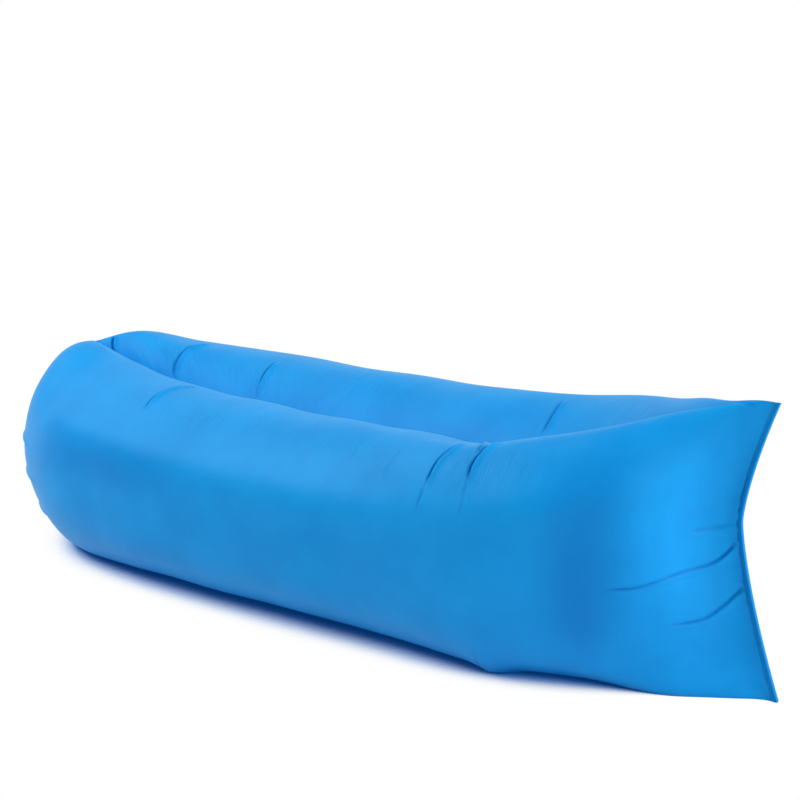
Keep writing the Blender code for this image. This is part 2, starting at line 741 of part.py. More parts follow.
def cut_grip_grooves(plug, material):
    """Shallow grooves across both faces of the plug, where fingers hold it."""
    bottom = BUCKLE_THICKNESS / 2 - GRIP_GROOVE_DEPTH
    past = BUCKLE_THICKNESS / 2 + CUT_OVERRUN
    wide = BUCKLE_WIDTH / 2 + CUT_OVERRUN
    middle = (PLUG_BOTTOM + PLUG_TOP - BAR_LENGTH - STRAP_SLOT) / 2
    for i in range(GRIP_GROOVES):
        centre = middle + (i - (GRIP_GROOVES - 1) / 2) * GRIP_GROOVE_PITCH
        low, high = centre - GRIP_GROOVE_WIDTH / 2, centre + GRIP_GROOVE_WIDTH / 2
        for label, near, far in (("front", -past, -bottom), ("back", bottom, past)):
            cut_box(
                plug,
                "plug_groove_%s_%d" % (label, i + 1),
                (BUCKLE_X + near, -wide, low),
                (BUCKLE_X + far, wide, high),
                material,
            )


def add_cylinder_along_x(name, y, z, radius, half, material):
    bm = bmesh.new()
    bmesh.ops.create_cone(
        bm,
        cap_ends=True,
        segments=PIVOT_STEPS,
        radius1=radius,
        radius2=radius,
        depth=2 * half,
        matrix=Matrix.Rotation(QUARTER_TURN, 4, "Y"),
    )
    bmesh.ops.translate(bm, vec=(BUCKLE_X, y, z), verts=bm.verts)
    return add_object(name, finish_mesh(bm, name), material)


def build_plug(material):
    plug = buckle_block("buckle_plug", PLUG_BOTTOM, PLUG_TOP, material)
    set_origin(plug, Vector((BUCKLE_X, 0, PLUG_BOTTOM)))
    cut_strap_bar(plug, PLUG_TOP, -1, material)
    cut_grip_grooves(plug, material)
    deep = arm_half_depth() + ARM_FACE_ROOM
    for label, side in (("near", -1), ("far", 1)):
        y = side * ARM_PIVOT_OUT
        radius = ARM_PIVOT_RADIUS + CLEARANCE
        seat = add_cylinder_along_x("plug_seat_" + label, y, PIVOT_Z, radius, deep, material)
        add_boolean(plug, seat)
        neck = ARM_WIDTH / 2 + ARM_SWING_ROOM
        cut_box(
            plug,
            "plug_neck_" + label,
            (BUCKLE_X - deep, y - neck, PLUG_BOTTOM - CUT_OVERRUN),
            (BUCKLE_X + deep, y + neck, PIVOT_Z),
            material,
        )
    tip = PLUG_BOTTOM - GUIDE_LENGTH
    base = PLUG_BOTTOM + CUT_OVERRUN
    outline = (
        (-GUIDE_TIP_WIDTH / 2, tip),
        (GUIDE_TIP_WIDTH / 2, tip),
        (GUIDE_WIDTH / 2, PLUG_BOTTOM),
        (GUIDE_WIDTH / 2, base),
        (-GUIDE_WIDTH / 2, base),
        (-GUIDE_WIDTH / 2, PLUG_BOTTOM),
    )
    half = arm_half_depth()
    guide = add_object(
        "plug_guide", prism_mesh("plug_guide", outline, BUCKLE_X - half, BUCKLE_X + half), material
    )
    add_boolean(plug, guide, "UNION")


def arm_half_depth():
    return BUCKLE_THICKNESS / 2 - SOCKET_FACE_WALL - ARM_FACE_ROOM


def button_face(low, high, proud):
    """The outer side of an arm's button as (y, z) points, with its grip grooves."""
    points = [(proud, low)]
    sunk = proud - GRIP_GROOVE_DEPTH
    for i in range(GRIP_GROOVES):
        centre = low + (high - low) * (i + 1) / (GRIP_GROOVES + 1)
        below, above = centre - GRIP_GROOVE_WIDTH / 2, centre + GRIP_GROOVE_WIDTH / 2
        points += [(proud, below), (sunk, below), (sunk, above), (proud, above)]
    points.append((proud, high))
    return points


def build_arm(label, side, material):
    """A sprung arm: a round root in the plug, a thin shank and a button with a square catch."""
    inside = ARM_PIVOT_OUT - ARM_WIDTH / 2
    outside = ARM_PIVOT_OUT + ARM_WIDTH / 2
    catch = PLUG_BOTTOM - ARM_CATCH_OFFSET
    button = catch - ARM_BUTTON_LENGTH
    tip = button - ARM_RAMP_LENGTH
    proud = BUCKLE_WIDTH / 2 - ARM_BUTTON_SETBACK
    root = math.asin(ARM_WIDTH / 2 / ARM_PIVOT_RADIUS)
    outline = [(inside, tip), (outside, tip), *button_face(button, catch, proud), (outside, catch)]
    for i in range(PIVOT_STEPS + 1):
        angle = -QUARTER_TURN + root + (FULL_TURN - 2 * root) * i / PIVOT_STEPS
        y = ARM_PIVOT_OUT + ARM_PIVOT_RADIUS * math.cos(angle)
        outline.append((y, PIVOT_Z + ARM_PIVOT_RADIUS * math.sin(angle)))
    outline = [(side * y, z) for y, z in outline]
    half = arm_half_depth()
    name = "buckle_arm_" + label
    arm = add_object(name, prism_mesh(name, outline, BUCKLE_X - half, BUCKLE_X + half), material)
    set_origin(arm, Vector((BUCKLE_X, side * ARM_PIVOT_OUT, PIVOT_Z)))


def main():
    clear_scene()
    cloth = make_material("blue_cloth", BLUE_CLOTH, 0.45)
    film = make_material("liner_film", PALE_FILM, 0.30)
    webbing = make_material("black_webbing", BLACK_WEBBING, 0.80)
    plastic = make_material("black_plastic", BLACK_PLASTIC, 0.42)
    stiffener = make_material("grey_plastic", GREY_PLASTIC, 0.50)
    build_chambers(cloth, film)
    build_centre_tape(cloth)
    build_end_binding(cloth)
    build_roll(cloth, stiffener)
    build_strap("socket_strap", -1, webbing)
    build_strap("plug_strap", 1, webbing)
    build_socket(plastic)
    build_plug(plastic)
    build_arm("near", -1, plastic)
    build_arm("far", 1, plastic)


main()
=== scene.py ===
"""The inflatable lounger, dressed: taut coated nylon, creases, seams, the rolled mouth and buckle."""

import math
from collections import namedtuple

import bmesh
import bpy
import numpy as np
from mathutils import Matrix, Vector


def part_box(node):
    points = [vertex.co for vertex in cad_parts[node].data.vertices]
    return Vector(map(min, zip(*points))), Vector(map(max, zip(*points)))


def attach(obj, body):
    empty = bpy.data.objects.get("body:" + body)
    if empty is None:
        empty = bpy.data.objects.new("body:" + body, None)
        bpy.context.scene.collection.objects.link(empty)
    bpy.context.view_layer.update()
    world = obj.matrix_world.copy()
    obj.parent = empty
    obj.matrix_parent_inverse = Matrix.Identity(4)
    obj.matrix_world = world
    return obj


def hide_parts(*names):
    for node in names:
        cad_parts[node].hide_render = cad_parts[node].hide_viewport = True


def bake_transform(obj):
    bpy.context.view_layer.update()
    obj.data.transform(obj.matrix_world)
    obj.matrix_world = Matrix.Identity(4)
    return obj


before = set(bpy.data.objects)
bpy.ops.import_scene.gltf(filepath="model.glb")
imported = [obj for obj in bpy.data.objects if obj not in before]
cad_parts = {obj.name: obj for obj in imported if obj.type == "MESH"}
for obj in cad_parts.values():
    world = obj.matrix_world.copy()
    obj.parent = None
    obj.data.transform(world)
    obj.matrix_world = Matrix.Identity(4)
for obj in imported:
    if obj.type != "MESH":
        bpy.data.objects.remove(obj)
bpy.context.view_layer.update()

# Sizes, as in the model of the part
CHAMBER_LENGTH = 2.12
HALF_WIDTH = 0.430
BODY_HEIGHT = 0.470
END_HEIGHT = 0.650
END_CURVE_DEPTH = 0.080
END_CURVE_HEIGHT = 0.380
END_CURVE_POWER = 1.4
HEEL_REACH = 0.025
SIDE_HEIGHT = 0.240
SKIN = 0.0010
CLEARANCE = 0.0003
CHAMBER_SPACING = 0.0026
FLOOR_FLAT = 0.0005
SEAM_ALLOWANCE = 0.014
BINDING_DEPTH = 0.010
BINDING_TAPE = 0.0010
BINDING_FLOOR_ROOM = 0.002
CENTRE_TAPE_HEIGHT = 0.016
ROLL_LENGTH = 0.700
BATTEN_WIDTH = 0.020
BATTEN_THICKNESS = 0.0016
ROLL_CLOTH = 0.0022
ROLL_PITCH = 0.0027
ROLL_TURNS = 3.5
ROLL_TAIL = 0.003
RING_HALF_DEPTH = 0.110
RING_HALF_HEIGHT = 0.152
THROAT_HALF_GAP = 0.0022
THROAT_ANGLE = math.radians(95)
THROAT_LIP = 0.010
THROAT_LIP_HALF = 0.016
QUARTER_TURN = math.pi / 2
FULL_TURN = 2 * math.pi
ANGLE_SLACK = 1e-9
NO_LENGTH = 1e-12

CORNER_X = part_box("near_chamber_shell")[1][0] - HEEL_REACH
RING_X = (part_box("mouth_roll")[0][0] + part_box("mouth_batten")[0][0]) / 2 + RING_HALF_DEPTH
RING_Z = (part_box("mouth_roll")[0][2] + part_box("mouth_roll")[1][2]) / 2
ROLL_HALF_THICKNESS = BATTEN_THICKNESS / 2 + CLEARANCE + ROLL_TURNS * ROLL_PITCH + ROLL_CLOTH
ROLL_OUTER_REACH = ROLL_HALF_THICKNESS + ROLL_TAIL + CLEARANCE

# Stations along the chamber, as shares of its sizes
CREST_PLACE_SHARES = (0.967, 0.934, 0.873, 0.755, 0.566, 0.401, 0.274, 0.170, 0.080)
SIDE_PLACE_SHARES = (1.000, 0.969, 0.885, 0.755, 0.566, 0.401, 0.274, 0.170, 0.091)
BELLY_PLACE_SHARES = (0.943, 0.906, 0.849, 0.755, 0.566, 0.401, 0.274, 0.170, 0.080)
INNER_PLACE_SHARES = (0.892, 0.849, 0.802, 0.708, 0.566, 0.401, 0.274, 0.189, 0.118)
CREST_OUT_SHARES = (0.045, 0.158, 0.250, 0.400, 0.481, 0.523, 0.600, 0.391, 0.121)
SIDE_OUT_SHARES = (0.265, 0.555, 0.875, 1.000, 0.988, 0.930, 0.890, 0.750, 0.330)
BELLY_OUT_SHARES = (0.244, 0.465, 0.530, 0.488, 0.442, 0.395, 0.440, 0.290, 0.250)
CREST_UP_SHARES = (0.979, 1.000, 0.996, 0.983, 0.996, 1.000, 1.000, 1.000, 1.000)
CREST_CLIMB_SHARES = (0, 0.070, 0, 0, 0, 0.083, 0.233, 0.522, 0.817)
SIDE_CLIMB_SHARES = (0.04, 0, 0, 0, 0, 0, 0.07, 0.43, 0.80)
BELLY_UP_SHARES = (0.043, 0.006, 0, 0, 0, 0, 0, 0, 0)


# Form of the chambers


def section_loop(crest, side, belly, inner, angles, bend=2):
    loop = []
    for angle in angles:
        quarter = min(3, int(angle / QUARTER_TURN + ANGLE_SLACK))
        rest = angle - quarter * QUARTER_TURN
        tops = (crest, belly, belly, crest)[quarter]
        flanks = (side, side, inner, inner)[quarter]
        toward_flank = math.sin(rest) if quarter in (0, 2) else math.cos(rest)
        toward_top = math.cos(rest) if quarter in (0, 2) else math.sin(rest)
        loop.append((
            flanks[0] + (tops[0] - flanks[0]) * abs(toward_top) ** bend,
            tops[1] + (flanks[1] - tops[1]) * toward_flank,
            flanks[2] + (tops[2] - flanks[2]) * toward_top,
        ))
    return np.array(loop)


def ring_outward(angle):
    return Vector((math.cos(angle) / RING_HALF_DEPTH, 0, math.sin(angle) / RING_HALF_HEIGHT)).normalized()


def ring_point(angle, offset=0.0):
    x = RING_X + RING_HALF_DEPTH * math.cos(angle)
    z = RING_Z + FLOOR_FLAT + RING_HALF_HEIGHT * math.sin(angle)
    return Vector((x, 0, z)) + ring_outward(angle) * offset


def throat_loop(offset, half_gap, angles):
    loop = []
    middle = -(CHAMBER_SPACING / 2 + max(half_gap, THROAT_HALF_GAP))
    for angle in angles:
        spread = math.sin(angle)
        from_crest = min(angle, FULL_TURN - angle)
        point = ring_point(THROAT_ANGLE * (1 - from_crest / QUARTER_TURN), offset)
        across = -math.copysign(math.sqrt(abs(spread)), spread) * half_gap
        loop.append((point.x, middle + across, point.z))
    return np.array(loop)


def station_loops(angles):
    inner_y = -CHAMBER_SPACING / 2
    climb = END_HEIGHT - BODY_HEIGHT
    loops = [
        throat_loop(ROLL_OUTER_REACH, THROAT_HALF_GAP, angles),
        throat_loop(ROLL_OUTER_REACH + THROAT_LIP, THROAT_LIP_HALF, angles),
    ]
    for k in range(len(CREST_PLACE_SHARES)):
        crest = (
            CORNER_X - CREST_PLACE_SHARES[k] * CHAMBER_LENGTH,
            inner_y - CREST_OUT_SHARES[k] * HALF_WIDTH,
            CREST_UP_SHARES[k] * BODY_HEIGHT + CREST_CLIMB_SHARES[k] * climb,
        )
        side_z = SIDE_HEIGHT + SIDE_CLIMB_SHARES[k] * (END_CURVE_HEIGHT - SIDE_HEIGHT)
        side = (CORNER_X - SIDE_PLACE_SHARES[k] * CHAMBER_LENGTH, -SIDE_OUT_SHARES[k] * HALF_WIDTH, side_z)
        belly = (
            CORNER_X - BELLY_PLACE_SHARES[k] * CHAMBER_LENGTH,
            inner_y - BELLY_OUT_SHARES[k] * HALF_WIDTH,
            BELLY_UP_SHARES[k] * BODY_HEIGHT,
        )
        inner = (CORNER_X - INNER_PLACE_SHARES[k] * CHAMBER_LENGTH, inner_y, side_z)
        loops.append(section_loop(crest, side, belly, inner, angles))
    for back in (SEAM_ALLOWANCE, 0):
        middle_y = inner_y - SKIN
        deepest = CORNER_X - END_CURVE_DEPTH - back
        crest = (CORNER_X - back, middle_y, END_HEIGHT)
        belly = (CORNER_X + HEEL_REACH - back, middle_y, 0)
        side = (deepest, inner_y - 2 * SKIN, END_CURVE_HEIGHT)
        inner = (deepest, inner_y, END_CURVE_HEIGHT)
        loops.append(section_loop(crest, side, belly, inner, angles, END_CURVE_POWER))
    return np.array(loops)


def smooth_through(rows, places, wanted):
    steps = np.diff(places)
    slopes = np.diff(rows, axis=0) / steps[:, None, None]
    tangents = np.empty_like(rows)
    before, after = steps[:-1, None, None], steps[1:, None, None]
    tangents[1:-1] = (before * slopes[1:] + after * slopes[:-1]) / (before + after)
    tangents[0], tangents[-1] = slopes[0], slopes[-1]
    index = np.clip(np.searchsorted(places, wanted, side="right") - 1, 0, len(steps) - 1)
    width = steps[index]
    t = ((wanted - places[index]) / width)[:, None, None]
    width = width[:, None, None]
    return (
        rows[index] * (1 + 2 * t) * (1 - t) ** 2
        + rows[index + 1] * t**2 * (3 - 2 * t)
        + tangents[index] * width * t * (1 - t) ** 2
        - tangents[index + 1] * width * t**2 * (1 - t)
    )


def running_total(steps):
    return np.concatenate([[0], np.cumsum(steps)])


def distances_along(points):
    """How far each point is from the first, along the line through them."""
    return running_total(np.linalg.norm(np.diff(points, axis=0), axis=1))


def side_line_places():
    return distances_along(station_loops([QUARTER_TURN])[:, 0])


def side_length():
    return float(side_line_places()[-1])


def chamber_grid(wanted_shares, degrees):
    """Points of the near chamber at shares of its side line from mouth to seam, round the section."""
    places = side_line_places()
    loops = station_loops([math.radians(d) for d in degrees])
    grid = smooth_through(loops, places, np.asarray(wanted_shares) * places[-1])
    grid[:, :, 2] -= FLOOR_FLAT
    return grid


# Where the skin stands fuller or flatter than the plain form, by air pressure and the cut of the
# cloth: share along, degrees, reach along in metres, reach in degrees, height
SWELLS = {
    "near": (
        (0.140, 19, 0.09, 18, 0.008),
        (0.172, 33, 0.11, 26, 0.021),
        (0.260, 57, 0.25, 15, 0.014),
        (0.360, 57, 0.25, 13, 0.008),
        (0.404, 94, 0.25, 22, -0.012),
        (0.580, 64, 0.35, 14, 0.009),
        (0.600, 97, 0.30, 22, -0.009),
        (0.822, 60, 0.25, 13, 0.011),
        (0.836, 96, 0.10, 45, -0.013),
        (0.905, 92, 0.08, 48, 0.015),
        (0.968, 162, 0.05, 24, 0.010),
    ),
    "far": (),
}
SWELL_START = 0.03
SWELL_END = 0.97


def bell(offset, reach):
    """1 in the middle, and nothing at about twice the reach."""
    return np.exp(-((offset / reach) ** 2))


def turned_by(degrees, angle):
    """How far each place round the section is from an angle, from -180 to 180 degrees."""
    return (degrees - angle + 180) % 360 - 180


def patch(shares, degrees, share, angle, share_reach, angle_reach):
    """1 at one place of the skin, less along it and round it."""
    along = bell(shares - share, share_reach)
    return along[:, None] * bell(turned_by(degrees, angle), angle_reach)[None, :]


def unit(vectors):
    return vectors / np.maximum(np.linalg.norm(vectors, axis=-1, keepdims=True), NO_LENGTH)


def swollen_grid(label, shares, degrees):
    """The chamber's points with its swells, and the way out of the skin at each."""
    grid = chamber_grid(shares, degrees)
    normals = grid_normals(grid)
    move = np.zeros(grid.shape[:2])
    for share, angle, reach, angle_reach, height in SWELLS[label]:
        move += height * patch(shares, degrees, share, angle, reach / side_length(), angle_reach)
    move *= (eased(0, SWELL_START, shares) * eased(1, SWELL_END, shares))[:, None]
    grid = grid + normals * move[:, :, None]
    grid[:, :, 2] = np.maximum(grid[:, :, 2], 0)
    return grid, grid_normals(grid)


def grid_normals(grid):
    along = np.gradient(grid, axis=0)
    around = np.roll(grid, -1, axis=1) - np.roll(grid, 1, axis=1)
    return unit(-np.cross(along, around))


def undulation(points, wavelength, seed, waves=9):
    """Smooth irregular hills, about -1 to 1, at about the given wavelength."""
    rng = np.random.default_rng(seed)
    directions = unit(rng.normal(size=(waves, 3)))
    lengths = wavelength * rng.uniform(0.7, 1.5, waves)
    phases = rng.uniform(0, FULL_TURN, waves)
    turns = [points @ direction * FULL_TURN / length for direction, length in zip(directions, lengths)]
    return sum(np.sin(turn + phase) for turn, phase in zip(turns, phases)) / math.sqrt(waves)


def on_a_line(places):
    """Points at these places along a straight line."""
    return np.stack([places, 0 * places, 0 * places], axis=1)


def eased(low, high, value):
    t = np.clip((value - low) / (high - low), 0, 1)
    return t * t * (3 - 2 * t)


FINE_STEPS = 4000
GIRTH = 1.42


def graded(low, high, count, peaks):
    """Places from low to high, closer together round each (centre, reach, gain) peak."""
    fine = np.linspace(low, high, FINE_STEPS + 1)
    density = 1 + sum(gain * bell(fine - centre, reach) for centre, reach, gain in peaks)
    walked = running_total((density[1:] + density[:-1]) / 2)
    return np.interp(np.linspace(0, walked[-1], count), walked, fine)


# Turning grids of points into meshes


def zip_faces(degrees):
    """Triangles across a slit, from its outer side to its inner side."""
    half = int(np.argmin(np.abs(degrees - 180)))
    outer = [(degrees[k], 0, k) for k in range(1, half + 1)]
    inner = [(360 - degrees[k], 1, k) for k in range(half, len(degrees))]
    reached = [0, 0]
    faces = []
    for _, side, corner in sorted(outer + inner):
        face = (reached[0], corner, reached[1])
        if len(set(face)) == 3:
            faces.append(face)
        reached[side] = corner
    return faces


def finish_mesh(name, points, faces, uvs):
    mesh = bpy.data.meshes.new(name)
    mesh.from_pydata(np.asarray(points).tolist(), [], faces)
    layer = mesh.uv_layers.new(name="surface")
    corners = np.empty(len(mesh.loops), dtype=np.int32)
    mesh.loops.foreach_get("vertex_index", corners)
    layer.data.foreach_set("uv", uvs[corners].astype(np.float32).ravel())
    bm = bmesh.new()
    bm.from_mesh(mesh)
    bmesh.ops.recalc_face_normals(bm, faces=bm.faces)
    bm.to_mesh(mesh)
    bm.free()
    mesh.shade_smooth()
    return mesh


def ring_faces(count, around):
    """The faces between rings of points."""
    rows = np.arange(count - 1)[:, None] * around
    here = np.arange(around)[None, :]
    there = (here + 1) % around
    quads = np.stack([rows + here, rows + there, rows + around + there, rows + around + here], axis=2)
    return quads.reshape(-1, 4).tolist()


def capped_faces(count, around):
    """The faces between rings of points, and a flat end on the first ring and on the last."""
    ends = [list(range(around))[::-1], list(range((count - 1) * around, count * around))]
    return ring_faces(count, around) + ends


def surface_places(along, across):
    """One UV, in metres, for each point of the rings."""
    return np.stack(np.broadcast_arrays(along[:, None], across[None, :]), axis=2).reshape(-1, 2)


def tube_mesh(name, grid, degrees, places, side):
    """A closed skin over rings of points. Its UVs are metres along and round it."""
    count, around = grid.shape[:2]
    faces = ring_faces(count, around)
    cap = zip_faces(degrees)
    last = (count - 1) * around
    faces += [corners[::-1] for corners in cap]
    faces += [tuple(last + c for c in corners) for corners in cap]
    signed = np.where(degrees > 180, degrees - 360, degrees) / 360 * GIRTH
    points = grid.reshape(-1, 3) * (1, side, 1)
    return finish_mesh(name, points, faces, surface_places(places, signed))


def sweep_mesh(name, rings, places):
    """Rings of points joined into a tube with flat ends. Its UVs are metres along and round it."""
    rings = np.asarray(rings)
    across = running_total(np.linalg.norm(np.diff(rings, axis=1), axis=2).mean(axis=0))
    uvs = surface_places(np.asarray(places), across)
    return finish_mesh(name, rings.reshape(-1, 3), capped_faces(*rings.shape[:2]), uvs)


def put_in_scene(thing):
    bpy.context.scene.collection.objects.link(thing)


def add_piece(name, mesh, material, body="lounger"):
    piece = bpy.data.objects.new(name, mesh)
    put_in_scene(piece)
    piece.data.materials.append(material)
    if body:
        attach(piece, body)
    return piece


def set_number(mesh, name, values):
    layer = mesh.attributes.new(name=name, type="FLOAT", domain="POINT")
    layer.data.foreach_set("value", np.asarray(values, dtype=np.float32).ravel())


# Materials


def new_material(name):
    material = bpy.data.materials.new(name)
    material.use_nodes = True
    return material, material.node_tree, material.node_tree.nodes["Principled BSDF"]


def feed(socket, value):
    if isinstance(value, bpy.types.NodeSocket):
        socket.id_data.links.new(value, socket)
    else:
        socket.default_value = value


def fill(made, **inputs):
    """Each input of a node by its name, with underscores for its spaces."""
    for key, value in inputs.items():
        feed(made.inputs[key.replace("_", " ")], value)
    return made


def node(tree, kind, **inputs):
    return fill(tree.nodes.new(kind), **inputs)


def maths(tree, operation, *values):
    made = tree.nodes.new("ShaderNodeMath")
    made.operation = operation
    for socket, value in zip(made.inputs, values):
        feed(socket, value)
    return made.outputs[0]


def noise(tree, place, scale, detail, twist=0.0):
    made = node(tree, "ShaderNodeTexNoise", Vector=place, Scale=scale, Detail=detail, Distortion=twist)
    return made.outputs["Fac"]


def stored_number(tree, name):
    """What the mesh holds under a name at each point."""
    made = tree.nodes.new("ShaderNodeAttribute")
    made.attribute_name = name
    return made.outputs["Fac"]


def shades(tree, factor, low, high, dark, light):
    """A colour ramp from dark at low to light at high."""
    ramp = tree.nodes.new("ShaderNodeValToRGB")
    for stop, place, colour in zip(ramp.color_ramp.elements, (low, high), (dark, light)):
        stop.position = place
        stop.color = colour
    feed(ramp.inputs["Fac"], factor)
    return ramp.outputs["Color"]


def surface_place(tree, along_scale=1, round_scale=1):
    """The surface's own coordinates in metres, along and round it, stretched for a texture."""
    place = tree.nodes.new("ShaderNodeUVMap")
    place.uv_map = "surface"
    scale = (along_scale, round_scale, 1)
    return node(tree, "ShaderNodeMapping", Vector=place.outputs["UV"], Scale=scale).outputs["Vector"]


def weave(tree, threads_per_metre):
    """Crossing threads, 0 to 1."""
    split = node(tree, "ShaderNodeSeparateXYZ", Vector=surface_place(tree))
    turns = FULL_TURN * threads_per_metre
    warp = maths(tree, "SINE", maths(tree, "MULTIPLY", split.outputs["X"], turns))
    weft = maths(tree, "SINE", maths(tree, "MULTIPLY", split.outputs["Y"], turns))
    return maths(tree, "MULTIPLY_ADD", maths(tree, "MULTIPLY", warp, weft), 0.5, 0.5)


def bump(tree, height, distance, below=None):
    made = node(tree, "ShaderNodeBump", Height=height, Distance=distance)
    if below is not None:
        feed(made.inputs["Normal"], below)
    return made.outputs["Normal"]


NYLON_DEEP = (0.0015, 0.252, 0.650, 1)
NYLON_PALE = (0.0030, 0.286, 0.705, 1)
# Painted shade: the deeper blue that fold valleys and shade zones are darkened toward
NYLON_PAINTED_SHADE = (0.0005, 0.140, 0.480, 1)
NYLON_SHEEN = (0.10, 0.80, 1, 1)
NYLON_SHINE = (0.70, 0.94, 1, 1)
# Threads, crinkles and ripples: how many in a metre, along the skin and round it, and how high
NYLON_THREADS = 900
NYLON_THREAD_HEIGHT = 0.00005
CRINKLES = (190, 14)
CRINKLE_HEIGHT = 0.0034
RIPPLES = (26, 9)
RIPPLE_HEIGHT = 0.0011


def nylon_material():
    """Thin coated nylon: an even blue, painted darker as shade in the folds and shade zones, a silky
    sheen, and fine hoop crinkles where the skin gathers.
    """
    material, tree, shader = new_material("blue_nylon")
    clouds = noise(tree, surface_place(tree), 7.0, 3.0)
    shaded = tree.nodes.new("ShaderNodeMix")
    shaded.data_type = "RGBA"
    factor, open_colour, painted_shade_colour = (shaded.inputs[k] for k in (0, 6, 7))
    # Painted shade: the colour darkens toward a deeper blue where the mesh's number for it is high, in
    # folds and shade zones
    feed(factor, stored_number(tree, "painted_shade"))
    feed(open_colour, shades(tree, clouds, 0.35, 0.65, NYLON_DEEP, NYLON_PALE))
    feed(painted_shade_colour, NYLON_PAINTED_SHADE)
    lines = noise(tree, surface_place(tree, *CRINKLES), 1.0, 2.0, 0.3)
    crinkles = maths(tree, "MULTIPLY", lines, stored_number(tree, "crinkle"))
    ripples = noise(tree, surface_place(tree, *RIPPLES), 1.0, 3.0)
    normal = bump(tree, weave(tree, NYLON_THREADS), NYLON_THREAD_HEIGHT)
    normal = bump(tree, crinkles, CRINKLE_HEIGHT, below=normal)
    fill(
        shader,
        Base_Color=shaded.outputs[2],
        Roughness=0.47,
        Sheen_Weight=0.06,
        Sheen_Roughness=0.40,
        Sheen_Tint=NYLON_SHEEN,
        Specular_Tint=NYLON_SHINE,
        Specular_IOR_Level=0.15,
        Normal=bump(tree, ripples, RIPPLE_HEIGHT, below=normal),
    )
    return material


FILM_DULL = (0.70, 0.76, 0.80, 1)
FILM_CLEAR = (0.82, 0.86, 0.88, 1)


def film_material():
    """Clear soft film, a little milky."""
    material, tree, shader = new_material("air_film")
    clouds = noise(tree, surface_place(tree), 9.0, 4.0)
    colour = shades(tree, clouds, 0.3, 0.7, FILM_DULL, FILM_CLEAR)
    fill(shader, Base_Color=colour, Roughness=0.25, Normal=bump(tree, clouds, 0.002))
    return material


WEBBING_RIBS = 620
RIB_HEIGHT = 0.0003
FUZZ_HEIGHT = 0.0001


def webbing_material(name, dark, light, gloss=(1, 1, 1, 1)):
    """Woven strap: ribs across it, with a finer thread along them."""
    material, tree, shader = new_material(name)
    ribs = weave(tree, WEBBING_RIBS)
    fuzz = noise(tree, surface_place(tree), 900.0, 3.0)
    mixed = maths(tree, "MULTIPLY_ADD", fuzz, 0.5, maths(tree, "MULTIPLY", ribs, 0.5))
    fill(
        shader,
        Base_Color=shades(tree, mixed, 0.2, 0.8, dark, light),
        Roughness=0.75,
        Sheen_Weight=0.3,
        Sheen_Roughness=0.5,
        Sheen_Tint=gloss,
        Specular_Tint=gloss,
        Normal=bump(tree, fuzz, FUZZ_HEIGHT, below=bump(tree, ribs, RIB_HEIGHT)),
    )
    return material


PLASTIC_GRAIN = 0.00006


def plastic_material(name, dark, light):
    """Moulded plastic: a fine even grain, a little paler and rougher in patches."""
    material, tree, shader = new_material(name)
    place = tree.nodes.new("ShaderNodeTexCoord").outputs["Object"]
    pits = noise(tree, place, 1600.0, 2.0)
    patches = noise(tree, place, 60.0, 4.0)
    fill(
        shader,
        Base_Color=shades(tree, patches, 0.3, 0.7, dark, light),
        Roughness=maths(tree, "MULTIPLY_ADD", patches, 0.15, 0.34),
        Normal=bump(tree, pits, PLASTIC_GRAIN),
    )
    return material


# Folds of the skins: each path is a few places, as (share of the way from the mouth to the seam,
# degrees from the crest over the outer side), and each lip stands on the side that it names

Fold = namedtuple("Fold", "depth width lip lip_out lip_reach fade_from")
DEEP = Fold(0.0090, 0.0036, 0.0056, 0.0074, 0.0080, 0.72)
FINE = Fold(0.0070, 0.0034, 0.0042, 0.0068, 0.0072, 0.72)
FAINT = Fold(0.0030, 0.0042, 0.0018, 0.0080, 0.0085, 0.72)
SEWN = Fold(0.0060, 0.0026, 0.0030, 0.0056, 0.0060, 0.90)
TO_SEAM = Vector((1, 0, 0))
TO_FLOOR = Vector((0, 0, -1))

NEAR_FOLDS = (
    (DEEP, TO_SEAM, ((0.713, -5), (0.714, 11), (0.710, 26), (0.707, 46))),
    (DEEP, TO_SEAM, ((0.751, -4), (0.748, 12), (0.746, 30), (0.749, 43))),
    (FINE, TO_SEAM, ((0.727, -10), (0.741, 7), (0.744, 18))),
    (FAINT, TO_SEAM, ((0.707, 46), (0.706, 60))),
    (FAINT, TO_SEAM, ((0.748, 41), (0.751, 62))),
    (FAINT, TO_SEAM, ((0.664, 20), (0.656, 42))),
    (DEEP, TO_SEAM, ((0.356, 32), (0.350, 18), (0.352, 6), (0.361, -1), (0.375, -2))),
    (FAINT, TO_SEAM, ((0.965, 3), (0.981, 14))),
    (
        SEWN,
        TO_FLOOR,
        ((0.875, 103), (0.904, 105), (0.940, 104), (0.965, 104), (0.979, 102), (0.991, 98), (1, 94)),
    ),
    (SEWN, TO_FLOOR, ((0.931, 123), (0.956, 123), (0.973, 119), (0.985, 115), (0.993, 112), (1, 107))),
    (FAINT, TO_FLOOR, ((0.952, 91), (0.975, 92), (0.997, 90))),
    (FAINT, TO_SEAM, ((0.748, 166), (0.748, 148), (0.756, 132))),
)
FAR_FOLDS = (
    (DEEP, TO_SEAM, ((0.107, 358), (0.102, 346), (0.094, 334), (0.089, 324))),
    (DEEP, TO_SEAM, ((0.254, 368), (0.248, 358), (0.237, 340), (0.220, 324), (0.203, 310))),
    (FINE, TO_SEAM, ((0.355, 351), (0.350, 334), (0.342, 310))),
    (FAINT, TO_SEAM, ((0.465, 345), (0.455, 312))),
    (FINE, TO_SEAM, ((0.687, 351), (0.694, 334), (0.698, 318))),
)


